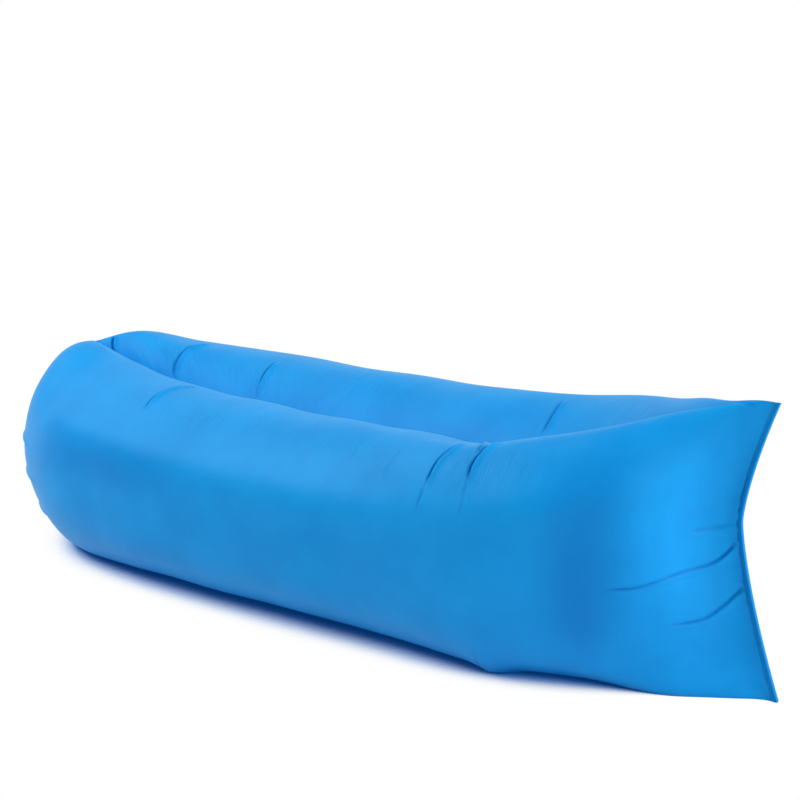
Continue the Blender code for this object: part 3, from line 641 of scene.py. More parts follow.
def smooth_path(points, step):
    """A smooth curve through the points, in small steps."""
    points = np.asarray(points, dtype=float)
    ends = np.concatenate([[2 * points[0] - points[1]], points, [2 * points[-1] - points[-2]]])
    curve = []
    for k in range(len(points) - 1):
        a, b, c, d = ends[k : k + 4]
        count = max(2, int(np.linalg.norm(c - b) / step))
        for t in np.linspace(0, 1, count, endpoint=False):
            bend = (2 * a - 5 * b + 4 * c - d) * t**2 + (3 * b - a - 3 * c + d) * t**3
            curve.append((2 * b + (c - a) * t + bend) / 2)
    curve.append(points[-1])
    return np.array(curve)


FOLD_STEP = 0.003
FOLD_NEARBY = 0.045
FOLD_START_SHARE = 0.18


def grid_place(share, angle, shares, degrees, grid):
    """The point of the grid at a share along and an angle, between its rows and columns."""
    row = [np.interp(share, shares, grid[:, j, i]) for j in range(len(degrees)) for i in range(3)]
    row = np.array(row).reshape(-1, 3)
    return np.array([np.interp(angle, degrees, row[:, i], period=360) for i in range(3)])


def press_fold(grid, normals, shares, degrees, fold, lip_side, path):
    """The outward move at each point of the grid for one fold, and how deep in it each point lies, which
    is used as painted shade in the fold's valley.
    """
    marks = [grid_place(share, angle % 360, shares, degrees, grid) for share, angle in path]
    curve = smooth_path(marks, FOLD_STEP)
    low, high = curve.min(axis=0) - FOLD_NEARBY, curve.max(axis=0) + FOLD_NEARBY
    near = np.all((grid > low) & (grid < high), axis=2)
    points = grid[near]
    gaps = np.linalg.norm(points[:, None, :] - curve[None, :, :], axis=2)
    nearest = gaps.argmin(axis=1)
    distance = gaps.min(axis=1)
    tangent = np.gradient(curve, axis=0)[nearest]
    side = unit(np.cross(normals[near], tangent))
    facing = np.sign(side @ np.asarray(lip_side))
    off = np.einsum("ij,ij->i", points - curve[nearest], side) * facing
    t = nearest / (len(curve) - 1)
    strength = eased(0, FOLD_START_SHARE, t) * eased(1.0, fold.fade_from, t)
    valley = -fold.depth * bell(distance, fold.width)
    lip = fold.lip * bell(off - fold.lip_out, fold.lip_reach)
    lip *= bell(distance - np.abs(off), fold.lip_reach)
    move, depth = np.zeros(grid.shape[:2]), np.zeros(grid.shape[:2])
    move[near] = (valley + lip) * strength
    # Painted shade: the valley's depth, 1 in the deepest fold, darkens the skin's colour
    depth[near] = -valley * strength / DEEP.depth
    return move, depth


# Chambers

ALONG_STEPS = 428
OUTER_STEPS = 132
INNER_STEPS = 96
# Where the grid is finer: reach and gain at a fold, along the skin and round it, and elsewhere
ALONG_FINER = (0.004, 7.0)
ROUND_FINER = (1.2, 5.0)
MOUTH_FINER = (0.02, 0.05, 1.0)
PLEAT_FINER = (2.5, 4.0)
SURGE_HEIGHT = 0.0016
SURGE_LENGTH = 0.26
END_STILL = 0.02
FOLD_CLEAR_OF_SEAM = SEAM_ALLOWANCE - 0.004
FOLD_FULL_BY_SEAM = SEAM_ALLOWANCE + 0.008
FIRST_PLEAT = 6.0
PLEAT_SPACING = (8, 17)
PLEAT_HEIGHT = 0.0045
PLEAT_HEIGHT_SHARES = (0.5, 1.2)
PLEAT_WIDTH = 3.2
PLEAT_REACH = 0.075
PLEAT_REACH_SHARES = (0.6, 1.5)
PLEAT_RISE = (0.004, 0.03)
LONG_PLEATS = ((82, 0.200), (102, 0.212), (123, 0.222))
LONG_PLEAT_HEIGHT = 0.0042
LONG_PLEAT_WIDTH = 1.3
LONG_PLEAT_RISE = (0.02, 0.08)
LONG_PLEAT_FALL = (0.012, -0.020)
# Where the near skin buckles over the floor, near the tall end
HEEL_BULGE = 0.013
HEEL_BULGE_PLACE = (0.754, 158, 0.016, 24)
PUCKER_HEIGHT = 0.0013
PUCKER_REACH = 0.030
PUCKER_LENGTH = 0.030
PUCKER_RISE = (0.006, 0.016)
# Where the skin gathers in fine hoop lines: share along, degrees, and reach in each
CRINKLE_ZONES = {
    "near": ((0.42, 26, 0.07, 16), (0.56, 24, 0.12, 14), (0.76, 30, 0.06, 22), (0.66, 340, 0.2, 22)),
    "far": ((0.35, 334, 0.10, 22), (0.52, 338, 0.10, 20), (0.80, 335, 0.10, 22), (0.24, 336, 0.05, 16)),
}
# Painted shade, where less light comes through the cloth: the place, as above, and how much darker the
# colour is painted
PAINTED_SHADE_ZONES = (
    (0.856, 88, 0.034, 42, 0.55),
    (0.860, 120, 0.045, 18, 0.30),
    (0.330, 72, 0.10, 15, 0.42),
)


def fold_peaks(folds, index, reach, gain, extra=()):
    """Where the grid has to be finer, along (index 0) or round (index 1), to carry the folds."""
    peaks = list(extra)
    for fold, lip_side, path in folds:
        if (index == 0) != (lip_side is TO_SEAM):
            continue
        marks = [mark[index] for mark in path]
        middle, half = (max(marks) + min(marks)) / 2, (max(marks) - min(marks)) / 2
        peaks.append((middle % (1 if index == 0 else 360), half + reach, gain))
    return peaks


def mouth_pleats(places, degrees, seed):
    """Pleats out of the mouth, where the wide cloth is gathered into the roll."""
    rng = np.random.default_rng(seed)
    move = np.zeros((len(places), len(degrees)))
    centre = FIRST_PLEAT
    while centre < 360:
        reach = PLEAT_REACH * rng.uniform(*PLEAT_REACH_SHARES)
        rise = eased(*PLEAT_RISE, places) * np.exp(-places / reach)
        height = PLEAT_HEIGHT * rng.uniform(*PLEAT_HEIGHT_SHARES) * (1 if rng.random() < 0.5 else -1)
        move += height * rise[:, None] * bell(turned_by(degrees, centre), PLEAT_WIDTH)[None, :]
        centre += rng.uniform(*PLEAT_SPACING)
    return move


def long_pleats(shares, degrees):
    """Pleats that reach round the end and stand proud of its outline."""
    move = np.zeros((len(shares), len(degrees)))
    for centre, end in LONG_PLEATS:
        fall_start, fall_end = (end + reach for reach in LONG_PLEAT_FALL)
        rise = eased(*LONG_PLEAT_RISE, shares) * eased(fall_start, fall_end, shares)
        ridge = bell(turned_by(degrees, centre), LONG_PLEAT_WIDTH)
        move += LONG_PLEAT_HEIGHT * rise[:, None] * ridge[None, :]
    return move


def seam_puckers(grid, from_seam, seed):
    """Small puckers square to the sewn end."""
    wave = undulation(on_a_line(distances_along(grid[-1])), PUCKER_LENGTH, seed)
    fade = bell(from_seam, PUCKER_REACH) * eased(*PUCKER_RISE, from_seam)
    return PUCKER_HEIGHT * fade[:, None] * wave[None, :]


def chamber_skin(label, side, folds, material, seed):
    shares = graded(0, 1, ALONG_STEPS + 1, fold_peaks(folds, 0, *ALONG_FINER, [MOUTH_FINER]))
    pleats = [(centre, *PLEAT_FINER) for centre, end in LONG_PLEATS]
    round_peaks = fold_peaks(folds, 1, *ROUND_FINER, pleats)
    degrees = np.concatenate([
        graded(0, 180, OUTER_STEPS + 1, round_peaks)[:-1],
        graded(180, 360, INNER_STEPS + 1, round_peaks)[:-1],
    ])
    grid, normals = swollen_grid(label, shares, degrees)
    places = shares * side_length()
    move = SURGE_HEIGHT * undulation(grid, SURGE_LENGTH, seed)
    move += mouth_pleats(places, degrees, seed)
    if label == "near":
        move += long_pleats(shares, degrees) + HEEL_BULGE * patch(shares, degrees, *HEEL_BULGE_PLACE)
    from_seam = places[-1] - places
    move *= (eased(0, END_STILL, from_seam) * eased(0, END_STILL, places))[:, None]
    move += seam_puckers(grid, from_seam, seed)
    off_seam = eased(FOLD_CLEAR_OF_SEAM, FOLD_FULL_BY_SEAM, from_seam)[:, None]
    # Painted shade: how much the skin's colour is darkened, deepest in the fold valleys and in the shade
    # zones
    painted_shade = np.zeros(move.shape)
    for fold, lip_side, path in folds:
        pressed, depth = press_fold(grid, normals, shares, degrees, fold, lip_side, path)
        move += pressed * off_seam
        painted_shade = np.maximum(painted_shade, depth)
    # Painted shade: each zone darkens the skin's colour in a soft patch
    for *place, darkness in PAINTED_SHADE_ZONES:
        painted_shade += darkness * patch(shares, degrees, *place)
    grid = grid + normals * move[:, :, None]
    grid[:, :, 1] = np.minimum(grid[:, :, 1], -CHAMBER_SPACING / 2 + CLEARANCE)
    grid[:, :, 2] = np.maximum(grid[:, :, 2], 0)
    mesh = tube_mesh(label + "_skin", grid, degrees, places, side)
    crinkled = [patch(shares, degrees, *zone) for zone in CRINKLE_ZONES[label]]
    set_number(mesh, "crinkle", np.max(crinkled, axis=0))
    set_number(mesh, "painted_shade", np.minimum(painted_shade, 1))
    skin = add_piece(label + "_chamber_skin", mesh, material)
    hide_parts(label + "_chamber_shell")


LINER_DEPTH = 0.016
LINER_THIN_SHARE = 0.60
LINER_PLUMP = 0.16
LINER_FLAT = 0.06
LINER_DRAW_IN = 0.12
LINER_LEAST_DRAW_IN = 0.7
LINER_START = 0.09
LINER_END = 0.95
LINER_FADE = 0.08
LINER_STEPS = 120
LINER_SIDES = 72
LINER_RIPPLE = 0.0012
LINER_RIPPLE_LENGTH = 0.06


def air_liner(label, side, material, seed):
    """The film bladder inside a chamber, a little loose, and drawn in more where it is thin."""
    shares = np.linspace(LINER_START, LINER_END, LINER_STEPS + 1)
    degrees = np.linspace(0, 360, LINER_SIDES, endpoint=False)
    outer, normals = swollen_grid(label, shares, degrees)
    ripple = LINER_RIPPLE * (1 + undulation(outer, LINER_RIPPLE_LENGTH, seed))
    mirrored = np.roll(outer[:, ::-1], 1, axis=1)
    room = np.linalg.norm(outer - mirrored, axis=2) / 2
    thin = eased(LINER_PLUMP, LINER_FLAT, room.max(axis=1))
    inset = outer - normals * np.minimum(LINER_DEPTH, LINER_THIN_SHARE * room)[:, :, None]
    middle = outer.mean(axis=1, keepdims=True)
    draw_in = LINER_DRAW_IN * (LINER_LEAST_DRAW_IN + (1 - LINER_LEAST_DRAW_IN) * thin)
    grid = middle + (inset - middle) * (1 - draw_in)[:, None, None]
    fade = eased(LINER_START, LINER_START + LINER_FADE, shares)
    fade *= eased(LINER_END, LINER_END - LINER_FADE, shares)
    grid -= normals * (ripple * fade[:, None])[:, :, None]
    mesh = tube_mesh(label + "_liner", grid, degrees, shares * side_length(), side)
    liner = add_piece(label + "_air_bladder", mesh, material)
    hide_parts(label + "_air_liner")


# Tapes and stitches

STITCH_RADIUS = 0.00045
STITCH_SIDES = 6
STITCH_RINGS = 5
STITCH_RISE = 1.3
STITCH_SINK = 0.6
STITCH_END_SHARE = 0.55
STITCH_FACES = capped_faces(STITCH_RINGS, STITCH_SIDES)


def stitches_mesh(name, stitches, radius=STITCH_RADIUS):
    """Short threads that dip at both ends, one for each (start, end, outward)."""
    points, faces = [], []
    for start, end, outward in stitches:
        start, end, outward = (np.asarray(v, dtype=float) for v in (start, end, outward))
        ahead = (end - start) / np.linalg.norm(end - start)
        across = np.cross(outward, ahead)
        first = len(points)
        for i in range(STITCH_RINGS):
            t = i / (STITCH_RINGS - 1)
            rise = math.sin(math.pi * t)
            centre = start + (end - start) * t + outward * radius * (STITCH_RISE * rise - STITCH_SINK)
            thick = radius * (STITCH_END_SHARE + (1 - STITCH_END_SHARE) * rise)
            for j in range(STITCH_SIDES):
                angle = FULL_TURN * j / STITCH_SIDES
                points.append(centre + (across * math.cos(angle) + outward * math.sin(angle)) * thick)
        faces += [[first + corner for corner in face] for face in STITCH_FACES]
    uvs = np.array(points)[:, [0, 2]]
    return finish_mesh(name, points, faces, uvs)


def end_edge(angle):
    """A point of the sewn end's edge, by the section angle, and how wide a level slice gets there."""
    rise = END_HEIGHT - END_CURVE_HEIGHT if angle < QUARTER_TURN else END_CURVE_HEIGHT
    toward_top = math.cos(angle)
    climb = abs(toward_top)
    depth = END_CURVE_DEPTH if angle < QUARTER_TURN else END_CURVE_DEPTH + HEEL_REACH
    x = CORNER_X - END_CURVE_DEPTH + depth * climb**END_CURVE_POWER
    z = END_CURVE_HEIGHT + rise * toward_top - FLOOR_FLAT
    slope = END_CURVE_POWER * depth * climb ** (END_CURVE_POWER - 1) / rise
    return x, z, math.hypot(1, slope)


BINDING_STEPS = 560
BINDING_ROUND_STEPS = 8
BINDING_INSIDE = CHAMBER_SPACING / 2 + 2 * SKIN + CLEARANCE
BINDING_RIPPLE = 0.00025
BINDING_STITCH_PITCH = 0.0042
BINDING_STITCH_SHARE = 0.62
BINDING_STITCH_IN = 0.0065


def binding_outline(bulge):
    """The folded tape in section: (outward, across) points round a soft U."""
    inside = BINDING_INSIDE
    outside = inside + BINDING_TAPE + bulge
    outline = [(-BINDING_DEPTH, -outside), (-BINDING_DEPTH / 2, -outside)]
    for i in range(BINDING_ROUND_STEPS + 1):
        angle = -QUARTER_TURN + math.pi * i / BINDING_ROUND_STEPS
        reach = CLEARANCE + BINDING_TAPE
        outline.append((reach * math.cos(angle), outside * math.sin(angle)))
    outline += [(-BINDING_DEPTH / 2, outside), (-BINDING_DEPTH, outside)]
    outline += [(-BINDING_DEPTH, inside), (0, inside), (0, -inside), (-BINDING_DEPTH, -inside)]
    return outline


def end_binding(material, thread):
    angles = np.linspace(0, math.pi, BINDING_STEPS + 1)
    edge = [e for e in map(end_edge, angles) if e[1] >= BINDING_FLOOR_ROOM]
    places = np.cumsum([0] + [math.dist(a[:2], b[:2]) for a, b in zip(edge, edge[1:])])
    rings = []
    for (x, z, wide), place in zip(edge, places):
        bulge = BINDING_RIPPLE * math.cos(FULL_TURN * place / BINDING_STITCH_PITCH)
        rings.append([(x + a * wide, b, z) for a, b in binding_outline(bulge)])
    tape = add_piece("end_binding_tape", sweep_mesh("end_binding", rings, places), material)
    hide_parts("end_seam_binding")
    outside = BINDING_INSIDE + BINDING_TAPE
    stitches = []
    for start in np.arange(BINDING_STITCH_PITCH, places[-1] - BINDING_STITCH_PITCH, BINDING_STITCH_PITCH):
        ends = []
        for place in (start, start + BINDING_STITCH_PITCH * BINDING_STITCH_SHARE):
            x, z, wide = (np.interp(place, places, [e[i] for e in edge]) for i in range(3))
            ends.append((x - BINDING_STITCH_IN * wide, z))
        for side in (-1, 1):
            points = [(x, side * outside, z) for x, z in ends]
            stitches.append((points[0], points[1], (0, side, 0)))
    sewn = add_piece("end_binding_stitches", stitches_mesh("end_stitches", stitches), thread)


TAPE_START = 0.062
TAPE_END = 0.985
TAPE_STEPS = 240
TAPE_SIDES = 8
TAPE_THICK_SHARE = 0.6
TAPE_RIPPLE_SHARE = 0.3
TAPE_RIPPLE_PITCH = 0.011


def centre_tape(material):
    """The tape that joins the chambers, along the line where they touch."""
    shares = np.linspace(TAPE_START, TAPE_END, TAPE_STEPS + 1)
    line = chamber_grid(shares, [270])[:, 0]
    ahead = np.gradient(line, axis=0)
    ahead[:, 1] = 0
    ahead = unit(ahead)
    up = np.stack([-ahead[:, 2], np.zeros(len(line)), ahead[:, 0]], axis=1)
    half, wide = CENTRE_TAPE_HEIGHT / 2, CHAMBER_SPACING / 2 - CLEARANCE
    places = shares * side_length()
    thick = wide * TAPE_THICK_SHARE
    heights = np.linspace(-half, half, TAPE_SIDES + 1)
    outline = [(h, -thick) for h in heights] + [(h, thick) for h in heights[::-1]]
    rings = []
    for k in range(len(line)):
        middle = np.array([line[k][0], 0, line[k][2]])
        ripple = TAPE_RIPPLE_SHARE * wide * math.sin(FULL_TURN * places[k] / TAPE_RIPPLE_PITCH)
        rings.append([middle + up[k] * h + (0, ripple * (h / half) ** 2 + out, 0) for h, out in outline])
    tape = add_piece("centre_joining_tape", sweep_mesh("centre_tape", rings, places), material)
    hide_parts("centre_seam_tape")


# Rolled mouth

ROLL_STEPS = 240
ROLL_CORNER_STEPS = 8
ROLL_FLAT_STEP = 0.0035
ROLL_WRINKLE = 0.0016
ROLL_WRINKLE_PITCH = 0.017
ROLL_WRINKLE_SLANT = 60
ROLL_WRINKLE_SHIFT = 1.3
ROLL_SHIFT_LENGTH = 0.13
ROLL_SHIFT_SEED = 21
ROLL_END_FADE = 0.05
ROLL_PINCH_LEVEL = 0.4
ROLL_SWELL = 0.0006
ROLL_SWELL_LENGTH = 0.09


def ring_frame(distance):
    """The place at a distance along the ring's centre line from its root, and the way out there."""
    angles = np.linspace(0, math.pi, FINE_STEPS + 1)
    pace = np.hypot(RING_HALF_DEPTH * np.sin(angles), RING_HALF_HEIGHT * np.cos(angles))
    walked = running_total((pace[1:] + pace[:-1]) / 2 * np.diff(angles))
    angle = math.copysign(float(np.interp(abs(distance), walked, angles)), distance)
    place = ring_point(angle)
    place.z -= FLOOR_FLAT
    return place, ring_outward(angle)


def finer(outline, step):
    """The closed outline with points added so that none are further apart than the step."""
    points = []
    for a, b in zip(outline, outline[1:] + outline[:1]):
        count = max(1, math.ceil(math.dist(a, b) / step))
        for i in range(count):
            points.append((a[0] + (b[0] - a[0]) * i / count, a[1] + (b[1] - a[1]) * i / count))
    return points


def roll_outline():
    """The rolled cloth in section, as (outward, across), and its length from the batten to the tail."""
    half = BATTEN_WIDTH / 2
    start = BATTEN_THICKNESS / 2 + CLEARANCE
    inner, outer = [], []
    for turn in range(round(2 * ROLL_TURNS)):
        centre = half if turn % 2 == 0 else -half
        for i in range(ROLL_CORNER_STEPS + 1):
            turned = turn * math.pi + math.pi * i / ROLL_CORNER_STEPS
            radius = start + ROLL_PITCH * turned / FULL_TURN
            along, across = -math.cos(turned), math.sin(turned)
            inner.append((along * radius, centre + across * radius))
            outer.append((along * (radius + ROLL_CLOTH), centre + across * (radius + ROLL_CLOTH)))
    tail = ROLL_HALF_THICKNESS + ROLL_TAIL
    side = ROLL_CLOTH / 2
    length = sum(math.dist(a, b) for a, b in zip(inner, inner[1:])) + half + tail
    outer += [(outer[-1][0], side), (tail, side), (tail, -side), (inner[-1][0], -side)]
    return finer(outer + inner[::-1], ROLL_FLAT_STEP), length


def mouth_roll(material):
    outline, cloth_length = roll_outline()
    outward = np.array([a for a, b in outline])
    across = np.array([b for a, b in outline])
    squeezed = np.clip(0.5 - outward / (2 * ROLL_HALF_THICKNESS), 0, 1)
    places = np.linspace(-ROLL_LENGTH / 2, ROLL_LENGTH / 2, ROLL_STEPS + 1)
    shifts = undulation(on_a_line(places), ROLL_SHIFT_LENGTH, ROLL_SHIFT_SEED)
    rings = []
    for place, shift in zip(places, shifts):
        centre, out = ring_frame(float(place))
        phase = FULL_TURN * place / ROLL_WRINKLE_PITCH + ROLL_WRINKLE_SHIFT * shift
        ends = eased(ROLL_LENGTH / 2, ROLL_LENGTH / 2 - ROLL_END_FADE, abs(place))
        pinch = (0.5 + 0.5 * np.cos(phase + ROLL_WRINKLE_SLANT * across)) ** 2 - ROLL_PINCH_LEVEL
        swell = ROLL_SWELL * math.sin(FULL_TURN * place / ROLL_SWELL_LENGTH + shift)
        a = outward + ROLL_WRINKLE * ends * pinch * squeezed
        b = across * (1 + swell / BATTEN_WIDTH * 2)
        ring = [tuple(centre + out * float(a[k]) + Vector((0, float(b[k]), 0))) for k in range(len(a))]
        rings.append(ring)
    roll = add_piece("rolled_mouth", sweep_mesh("rolled_mouth", rings, places), material)
    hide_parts("mouth_roll")


# Straps

WEBBING_WIDTH = 0.020
WEBBING_THICKNESS = 0.0012
WEBBING_PLY_GAP = 0.0004
WEBBING_TAPER_SHARE = 0.45
WEBBING_EDGE = 0.0004
BAR_THICKNESS = 0.0032
BAR_LENGTH = 0.0036
BAR_ROOM = BAR_THICKNESS / 2 + CLEARANCE
STRAP_STEPS = 30
BAR_WRAP_STEPS = 14
BUCKLE_X = RING_X - RING_HALF_DEPTH
PLUG_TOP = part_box("buckle_plug")[1][2]
SOCKET_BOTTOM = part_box("buckle_socket")[0][2]
BOX_STITCH_WIDTH = 0.014
BOX_STITCH_START_SHARE = 0.50
BOX_STITCH_END_SHARE = 0.93
BOX_STITCHES = 6
BOX_STITCH_SHARE = 0.75
BOX_STITCH_RADIUS = 0.0003
STRAP_SIDES = 8


def strap_line(upward):
    """Points and sideways directions from the buckle's bar to the end of the roll."""
    bar_z = PLUG_TOP if upward > 0 else SOCKET_BOTTOM
    start = Vector((BUCKLE_X, 0, bar_z))
    end, outward = ring_frame(upward * (ROLL_LENGTH / 2 + CLEARANCE))
    reach = (end - start).length / 3
    tangent = Vector((-outward.z, 0, outward.x)) * upward
    bends = [start, start + Vector((0, 0, upward * reach)), end + tangent * reach, end]
    line = []
    for i in range(STRAP_STEPS + 1):
        t = i / STRAP_STEPS
        weights = ((1 - t) ** 3, 3 * t * (1 - t) ** 2, 3 * t**2 * (1 - t), t**3)
        rates = (-3 * (1 - t) ** 2, 3 * (1 - t) * (1 - 3 * t), 3 * t * (2 - 3 * t), 3 * t**2)
        place = sum((b * w for b, w in zip(bends, weights)), Vector())
        ahead = sum((b * r for b, r in zip(bends, rates)), Vector()).normalized()
        line.append((place, Vector((-ahead.z, 0, ahead.x)) * upward, t))
    return line


def ply_offset(t):
    """How far a ply's inner face is from the strap's middle."""
    return BAR_ROOM + (WEBBING_PLY_GAP / 2 - BAR_ROOM) * float(eased(0, WEBBING_TAPER_SHARE, t))


def strap_outline(upward, inset):
    """Two plies from the roll, joined over the buckle's bar, as (x, z) points."""
    bar_z = PLUG_TOP - BAR_LENGTH if upward > 0 else SOCKET_BOTTOM + BAR_LENGTH
    line = strap_line(upward)
    edges = []
    for extra in (WEBBING_THICKNESS - inset, inset):
        sides = {1: [], -1: []}
        for place, sideways, t in line:
            for side in (1, -1):
                point = place + sideways * side * (ply_offset(t) + extra)
                sides[side].append((point.x, point.z))
        wrap = []
        radius = BAR_ROOM + extra
        for i in range(BAR_WRAP_STEPS + 1):
            angle = math.pi * i / BAR_WRAP_STEPS
            wrap.append((BUCKLE_X - radius * math.cos(angle), bar_z - upward * radius * math.sin(angle)))
        edges.append(sides[1][::-1] + wrap + sides[-1])
    return edges[0] + edges[1][::-1]


def strap(name, node_name, upward, material, body):
    half = WEBBING_WIDTH / 2
    inner = half - WEBBING_EDGE
    stations = [-half, -inner] + list(np.linspace(-inner, inner, STRAP_SIDES + 1)[1:-1]) + [inner, half]
    rings = []
    for y in stations:
        outline = strap_outline(upward, WEBBING_EDGE if abs(y) == half else 0)
        rings.append([(x, y, z) for x, z in outline])
    made = add_piece(name, sweep_mesh(name, rings, stations), material, body)
    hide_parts(node_name)
    return made


def box_stitches(name, upward, material, body):
    """A sewn square with a cross in it, on both faces of a strap."""
    line = strap_line(upward)
    across = BOX_STITCH_WIDTH / 2

    def place_at(t, y, face):
        k = min(int(t * STRAP_STEPS), STRAP_STEPS - 1)
        rest = t * STRAP_STEPS - k
        place = line[k][0].lerp(line[k + 1][0], rest)
        sideways = line[k][1].lerp(line[k + 1][1], rest).normalized()
        point = place + sideways * face * (ply_offset(t) + WEBBING_THICKNESS) + Vector((0, y, 0))
        return point, sideways * face

    low, high = BOX_STITCH_START_SHARE, BOX_STITCH_END_SHARE
    corners = [(low, -across), (high, -across), (high, across), (low, across)]
    runs = list(zip(corners, corners[1:] + corners[:1]))
    runs += [(corners[0], corners[2]), (corners[1], corners[3])]
    stitches = []
    for face in (1, -1):
        for (t0, y0), (t1, y1) in runs:
            for i in range(BOX_STITCHES):
                a, b = i / BOX_STITCHES, (i + BOX_STITCH_SHARE) / BOX_STITCHES
                start, out = place_at(t0 + (t1 - t0) * a, y0 + (y1 - y0) * a, face)
                end, _ = place_at(t0 + (t1 - t0) * b, y0 + (y1 - y0) * b, face)
                stitches.append((start, end, out))
    made = add_piece(name, stitches_mesh(name, stitches, BOX_STITCH_RADIUS), material, body)
    return made


# Everything in its place

BLUE_GLOSS = (0.12, 0.80, 1, 1)
BINDING_BLUES = (0.0008, 0.165, 0.50, 1), (0.001, 0.20, 0.58, 1)
THREAD_BLUES = (0.001, 0.19, 0.55, 1), (0.002, 0.25, 0.66, 1)
STRAP_BLACKS = (0.006, 0.006, 0.007, 1), (0.030, 0.030, 0.033, 1)
THREAD_BLACKS = (0.010, 0.010, 0.011, 1), (0.05, 0.05, 0.055, 1)
PLASTIC_BLACKS = (0.012, 0.012, 0.013, 1), (0.026, 0.026, 0.028, 1)
PLASTIC_GREYS = (0.20, 0.21, 0.23, 1), (0.27, 0.28, 0.30, 1)

nylon = nylon_material()
film = film_material()
binding_cloth = webbing_material("blue_binding", *BINDING_BLUES, BLUE_GLOSS)
blue_thread = webbing_material("blue_thread", *THREAD_BLUES, BLUE_GLOSS)
webbing = webbing_material("black_strap", *STRAP_BLACKS)
black_thread = webbing_material("black_thread", *THREAD_BLACKS)
black_plastic = plastic_material("moulded_black", *PLASTIC_BLACKS)
grey_plastic = plastic_material("moulded_grey", *PLASTIC_GREYS)

chamber_skin("near", 1, NEAR_FOLDS, nylon, 3)
chamber_skin("far", -1, FAR_FOLDS, nylon, 8)
air_liner("near", 1, film, 13)
air_liner("far", -1, film, 17)
centre_tape(binding_cloth)
end_binding(binding_cloth, blue_thread)
mouth_roll(nylon)
strap("socket_side_strap", "socket_strap", -1, webbing, "lounger")
box_stitches("socket_strap_stitches", -1, black_thread, "lounger")
plug_side = strap("plug_side_strap", "plug_strap", 1, webbing, None)
plug_sewing = box_stitches("plug_strap_stitches", 1, black_thread, None)
strap_end = ring_frame(ROLL_LENGTH / 2 + CLEARANCE)[0]
for piece in (plug_side, plug_sewing):
    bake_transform(piece)
for name in ("buckle_socket", "buckle_plug", "buckle_arm_near", "buckle_arm_far"):
    bpy.data.objects[name].material_slots[0].material = black_plastic
bpy.data.objects["mouth_batten"].material_slots[0].material = grey_plastic


# Floor, light and camera

FLOOR_REACH = 30
FLOOR_SHADE_REACH = 0.45
FLOOR_SHADED = 0.15
FLOOR_OPEN = 0.46
# Painted shadow: the floor's blue colour and faint navy glow next to the object
SHADOW_BLUE = (0.06, 0.45, 0.85, 1)
SHADOW_GLOW = (0.0, 0.014, 0.065, 1)
FLOOR_WHITE = (0.93, 0.93, 0.935, 1)
WORLD_LEVEL = 0.25
LIGHT_DISTANCE = 4.5
# Each light: the way to it from the object, the length of its side, and its level
LIGHTS = {
    "overhead_left": ((-0.62, -0.16, 0.77), 3.0, 0.28),
    "over_near": ((-0.45, -0.55, 0.70), 1.6, 0.48),
    "right": ((0.95, -0.15, 0.32), 1.6, 0.29),
    "back_right": ((0.80, 0.50, 0.25), 1.6, 0.40),
    "above_right": ((0.60, 0.20, 0.77), 2.0, 0.34),
}


def studio_floor():
    """A floor that is even white where it is open. By the object it keeps the lamps' shadow, and its
    colour there is painted blue with a faint navy glow, as a painted blue shadow."""
    r = FLOOR_REACH
    mesh = bpy.data.meshes.new("floor")
    mesh.from_pydata([(-r, -r, 0), (r, -r, 0), (r, r, 0), (-r, r, 0)], [], [(0, 1, 2, 3)])
    floor = bpy.data.objects.new("studio_floor", mesh)
    put_in_scene(floor)
    material, tree, shader = new_material("floor_white")
    # Painted shadow: where ambient occlusion finds the object close, the floor's colour turns blue and it
    # glows a faint navy
    openness = node(tree, "ShaderNodeAmbientOcclusion", Distance=FLOOR_SHADE_REACH).outputs["AO"]
    shade = node(tree, "ShaderNodeMapRange", Value=openness, From_Min=FLOOR_SHADED, From_Max=FLOOR_OPEN)
    shade.interpolation_type = "SMOOTHSTEP"
    away = shade.outputs["Result"]
    seen = background_rays(tree)
    under = maths(tree, "SUBTRACT", 1.0, away)
    fill(
        shader,
        Base_Color=shades(tree, away, 0.0, 1.0, SHADOW_BLUE, FLOOR_WHITE),
        Roughness=1.0,
        Specular_IOR_Level=0.0,
        Emission_Color=SHADOW_GLOW,
        Emission_Strength=maths(tree, "MULTIPLY", under, seen),
    )
    mix = tree.nodes.new("ShaderNodeMixShader")
    glow = tree.nodes.new("ShaderNodeEmission")
    feed(mix.inputs[0], maths(tree, "MULTIPLY", away, seen))
    feed(mix.inputs[1], shader.outputs[0])
    feed(mix.inputs[2], glow.outputs[0])
    feed(tree.nodes["Material Output"].inputs["Surface"], mix.outputs[0])
    floor.data.materials.append(material)


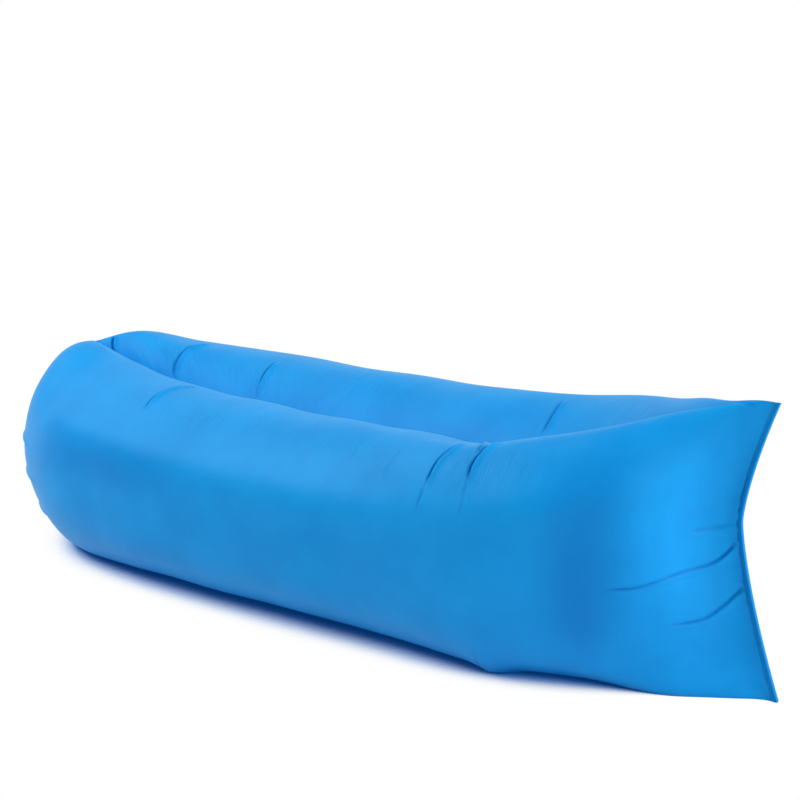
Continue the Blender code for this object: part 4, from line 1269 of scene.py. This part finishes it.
def background_rays(tree):
    """1 for what the camera sees, straight, mirrored or through a surface, and 0 for other light."""
    path = tree.nodes.new("ShaderNodeLightPath")
    seen = maths(tree, "MAXIMUM", path.outputs["Is Camera Ray"], path.outputs["Is Glossy Ray"])
    return maths(tree, "MAXIMUM", seen, path.outputs["Is Transmission Ray"])


def studio_world():
    world = bpy.data.worlds.new("studio")
    bpy.context.scene.world = world
    world.use_nodes = True
    tree = world.node_tree
    level = maths(tree, "MULTIPLY_ADD", background_rays(tree), 1 - WORLD_LEVEL, WORLD_LEVEL)
    fill(tree.nodes["Background"], Color=(1, 1, 1, 1), Strength=level)


def studio_lights():
    """Square lights that shine on the middle of the object. A level of 1 lights a face turned to it
    as a white world of strength 1 would."""
    for name, (toward, size, level) in LIGHTS.items():
        data = bpy.data.lights.new(name, "AREA")
        data.shape = "SQUARE"
        data.size = size
        data.energy = level * math.pi**2 * LIGHT_DISTANCE**2
        light = bpy.data.objects.new(name, data)
        toward = Vector(toward).normalized()
        light.location = Vector((0, 0, BODY_HEIGHT / 2)) + toward * LIGHT_DISTANCE
        light.rotation_euler = (-toward).to_track_quat("-Z", "Y").to_euler()
        put_in_scene(light)


CAMERA_DISTANCE = 5.591
CAMERA_AZIMUTH = math.radians(40)
CAMERA_ELEVATION = math.radians(15.097)
CAMERA_LENS = 108.1
CAMERA_SENSOR = 36
CAMERA_TARGET = Vector((CORNER_X - 1.016, 0, 0.481))


def studio_camera():
    toward = Vector((
        math.sin(CAMERA_AZIMUTH) * math.cos(CAMERA_ELEVATION),
        -math.cos(CAMERA_AZIMUTH) * math.cos(CAMERA_ELEVATION),
        math.sin(CAMERA_ELEVATION),
    ))
    data = bpy.data.cameras.new("camera")
    data.lens = CAMERA_LENS
    data.sensor_width = CAMERA_SENSOR
    data.clip_end = 200
    camera = bpy.data.objects.new("camera", data)
    camera.location = CAMERA_TARGET + toward * CAMERA_DISTANCE
    camera.rotation_euler = (-toward).to_track_quat("-Z", "Y").to_euler()
    put_in_scene(camera)
    bpy.context.scene.camera = camera


studio_floor()
studio_world()
studio_lights()
studio_camera()
bpy.context.scene.view_settings.view_transform = "Standard"
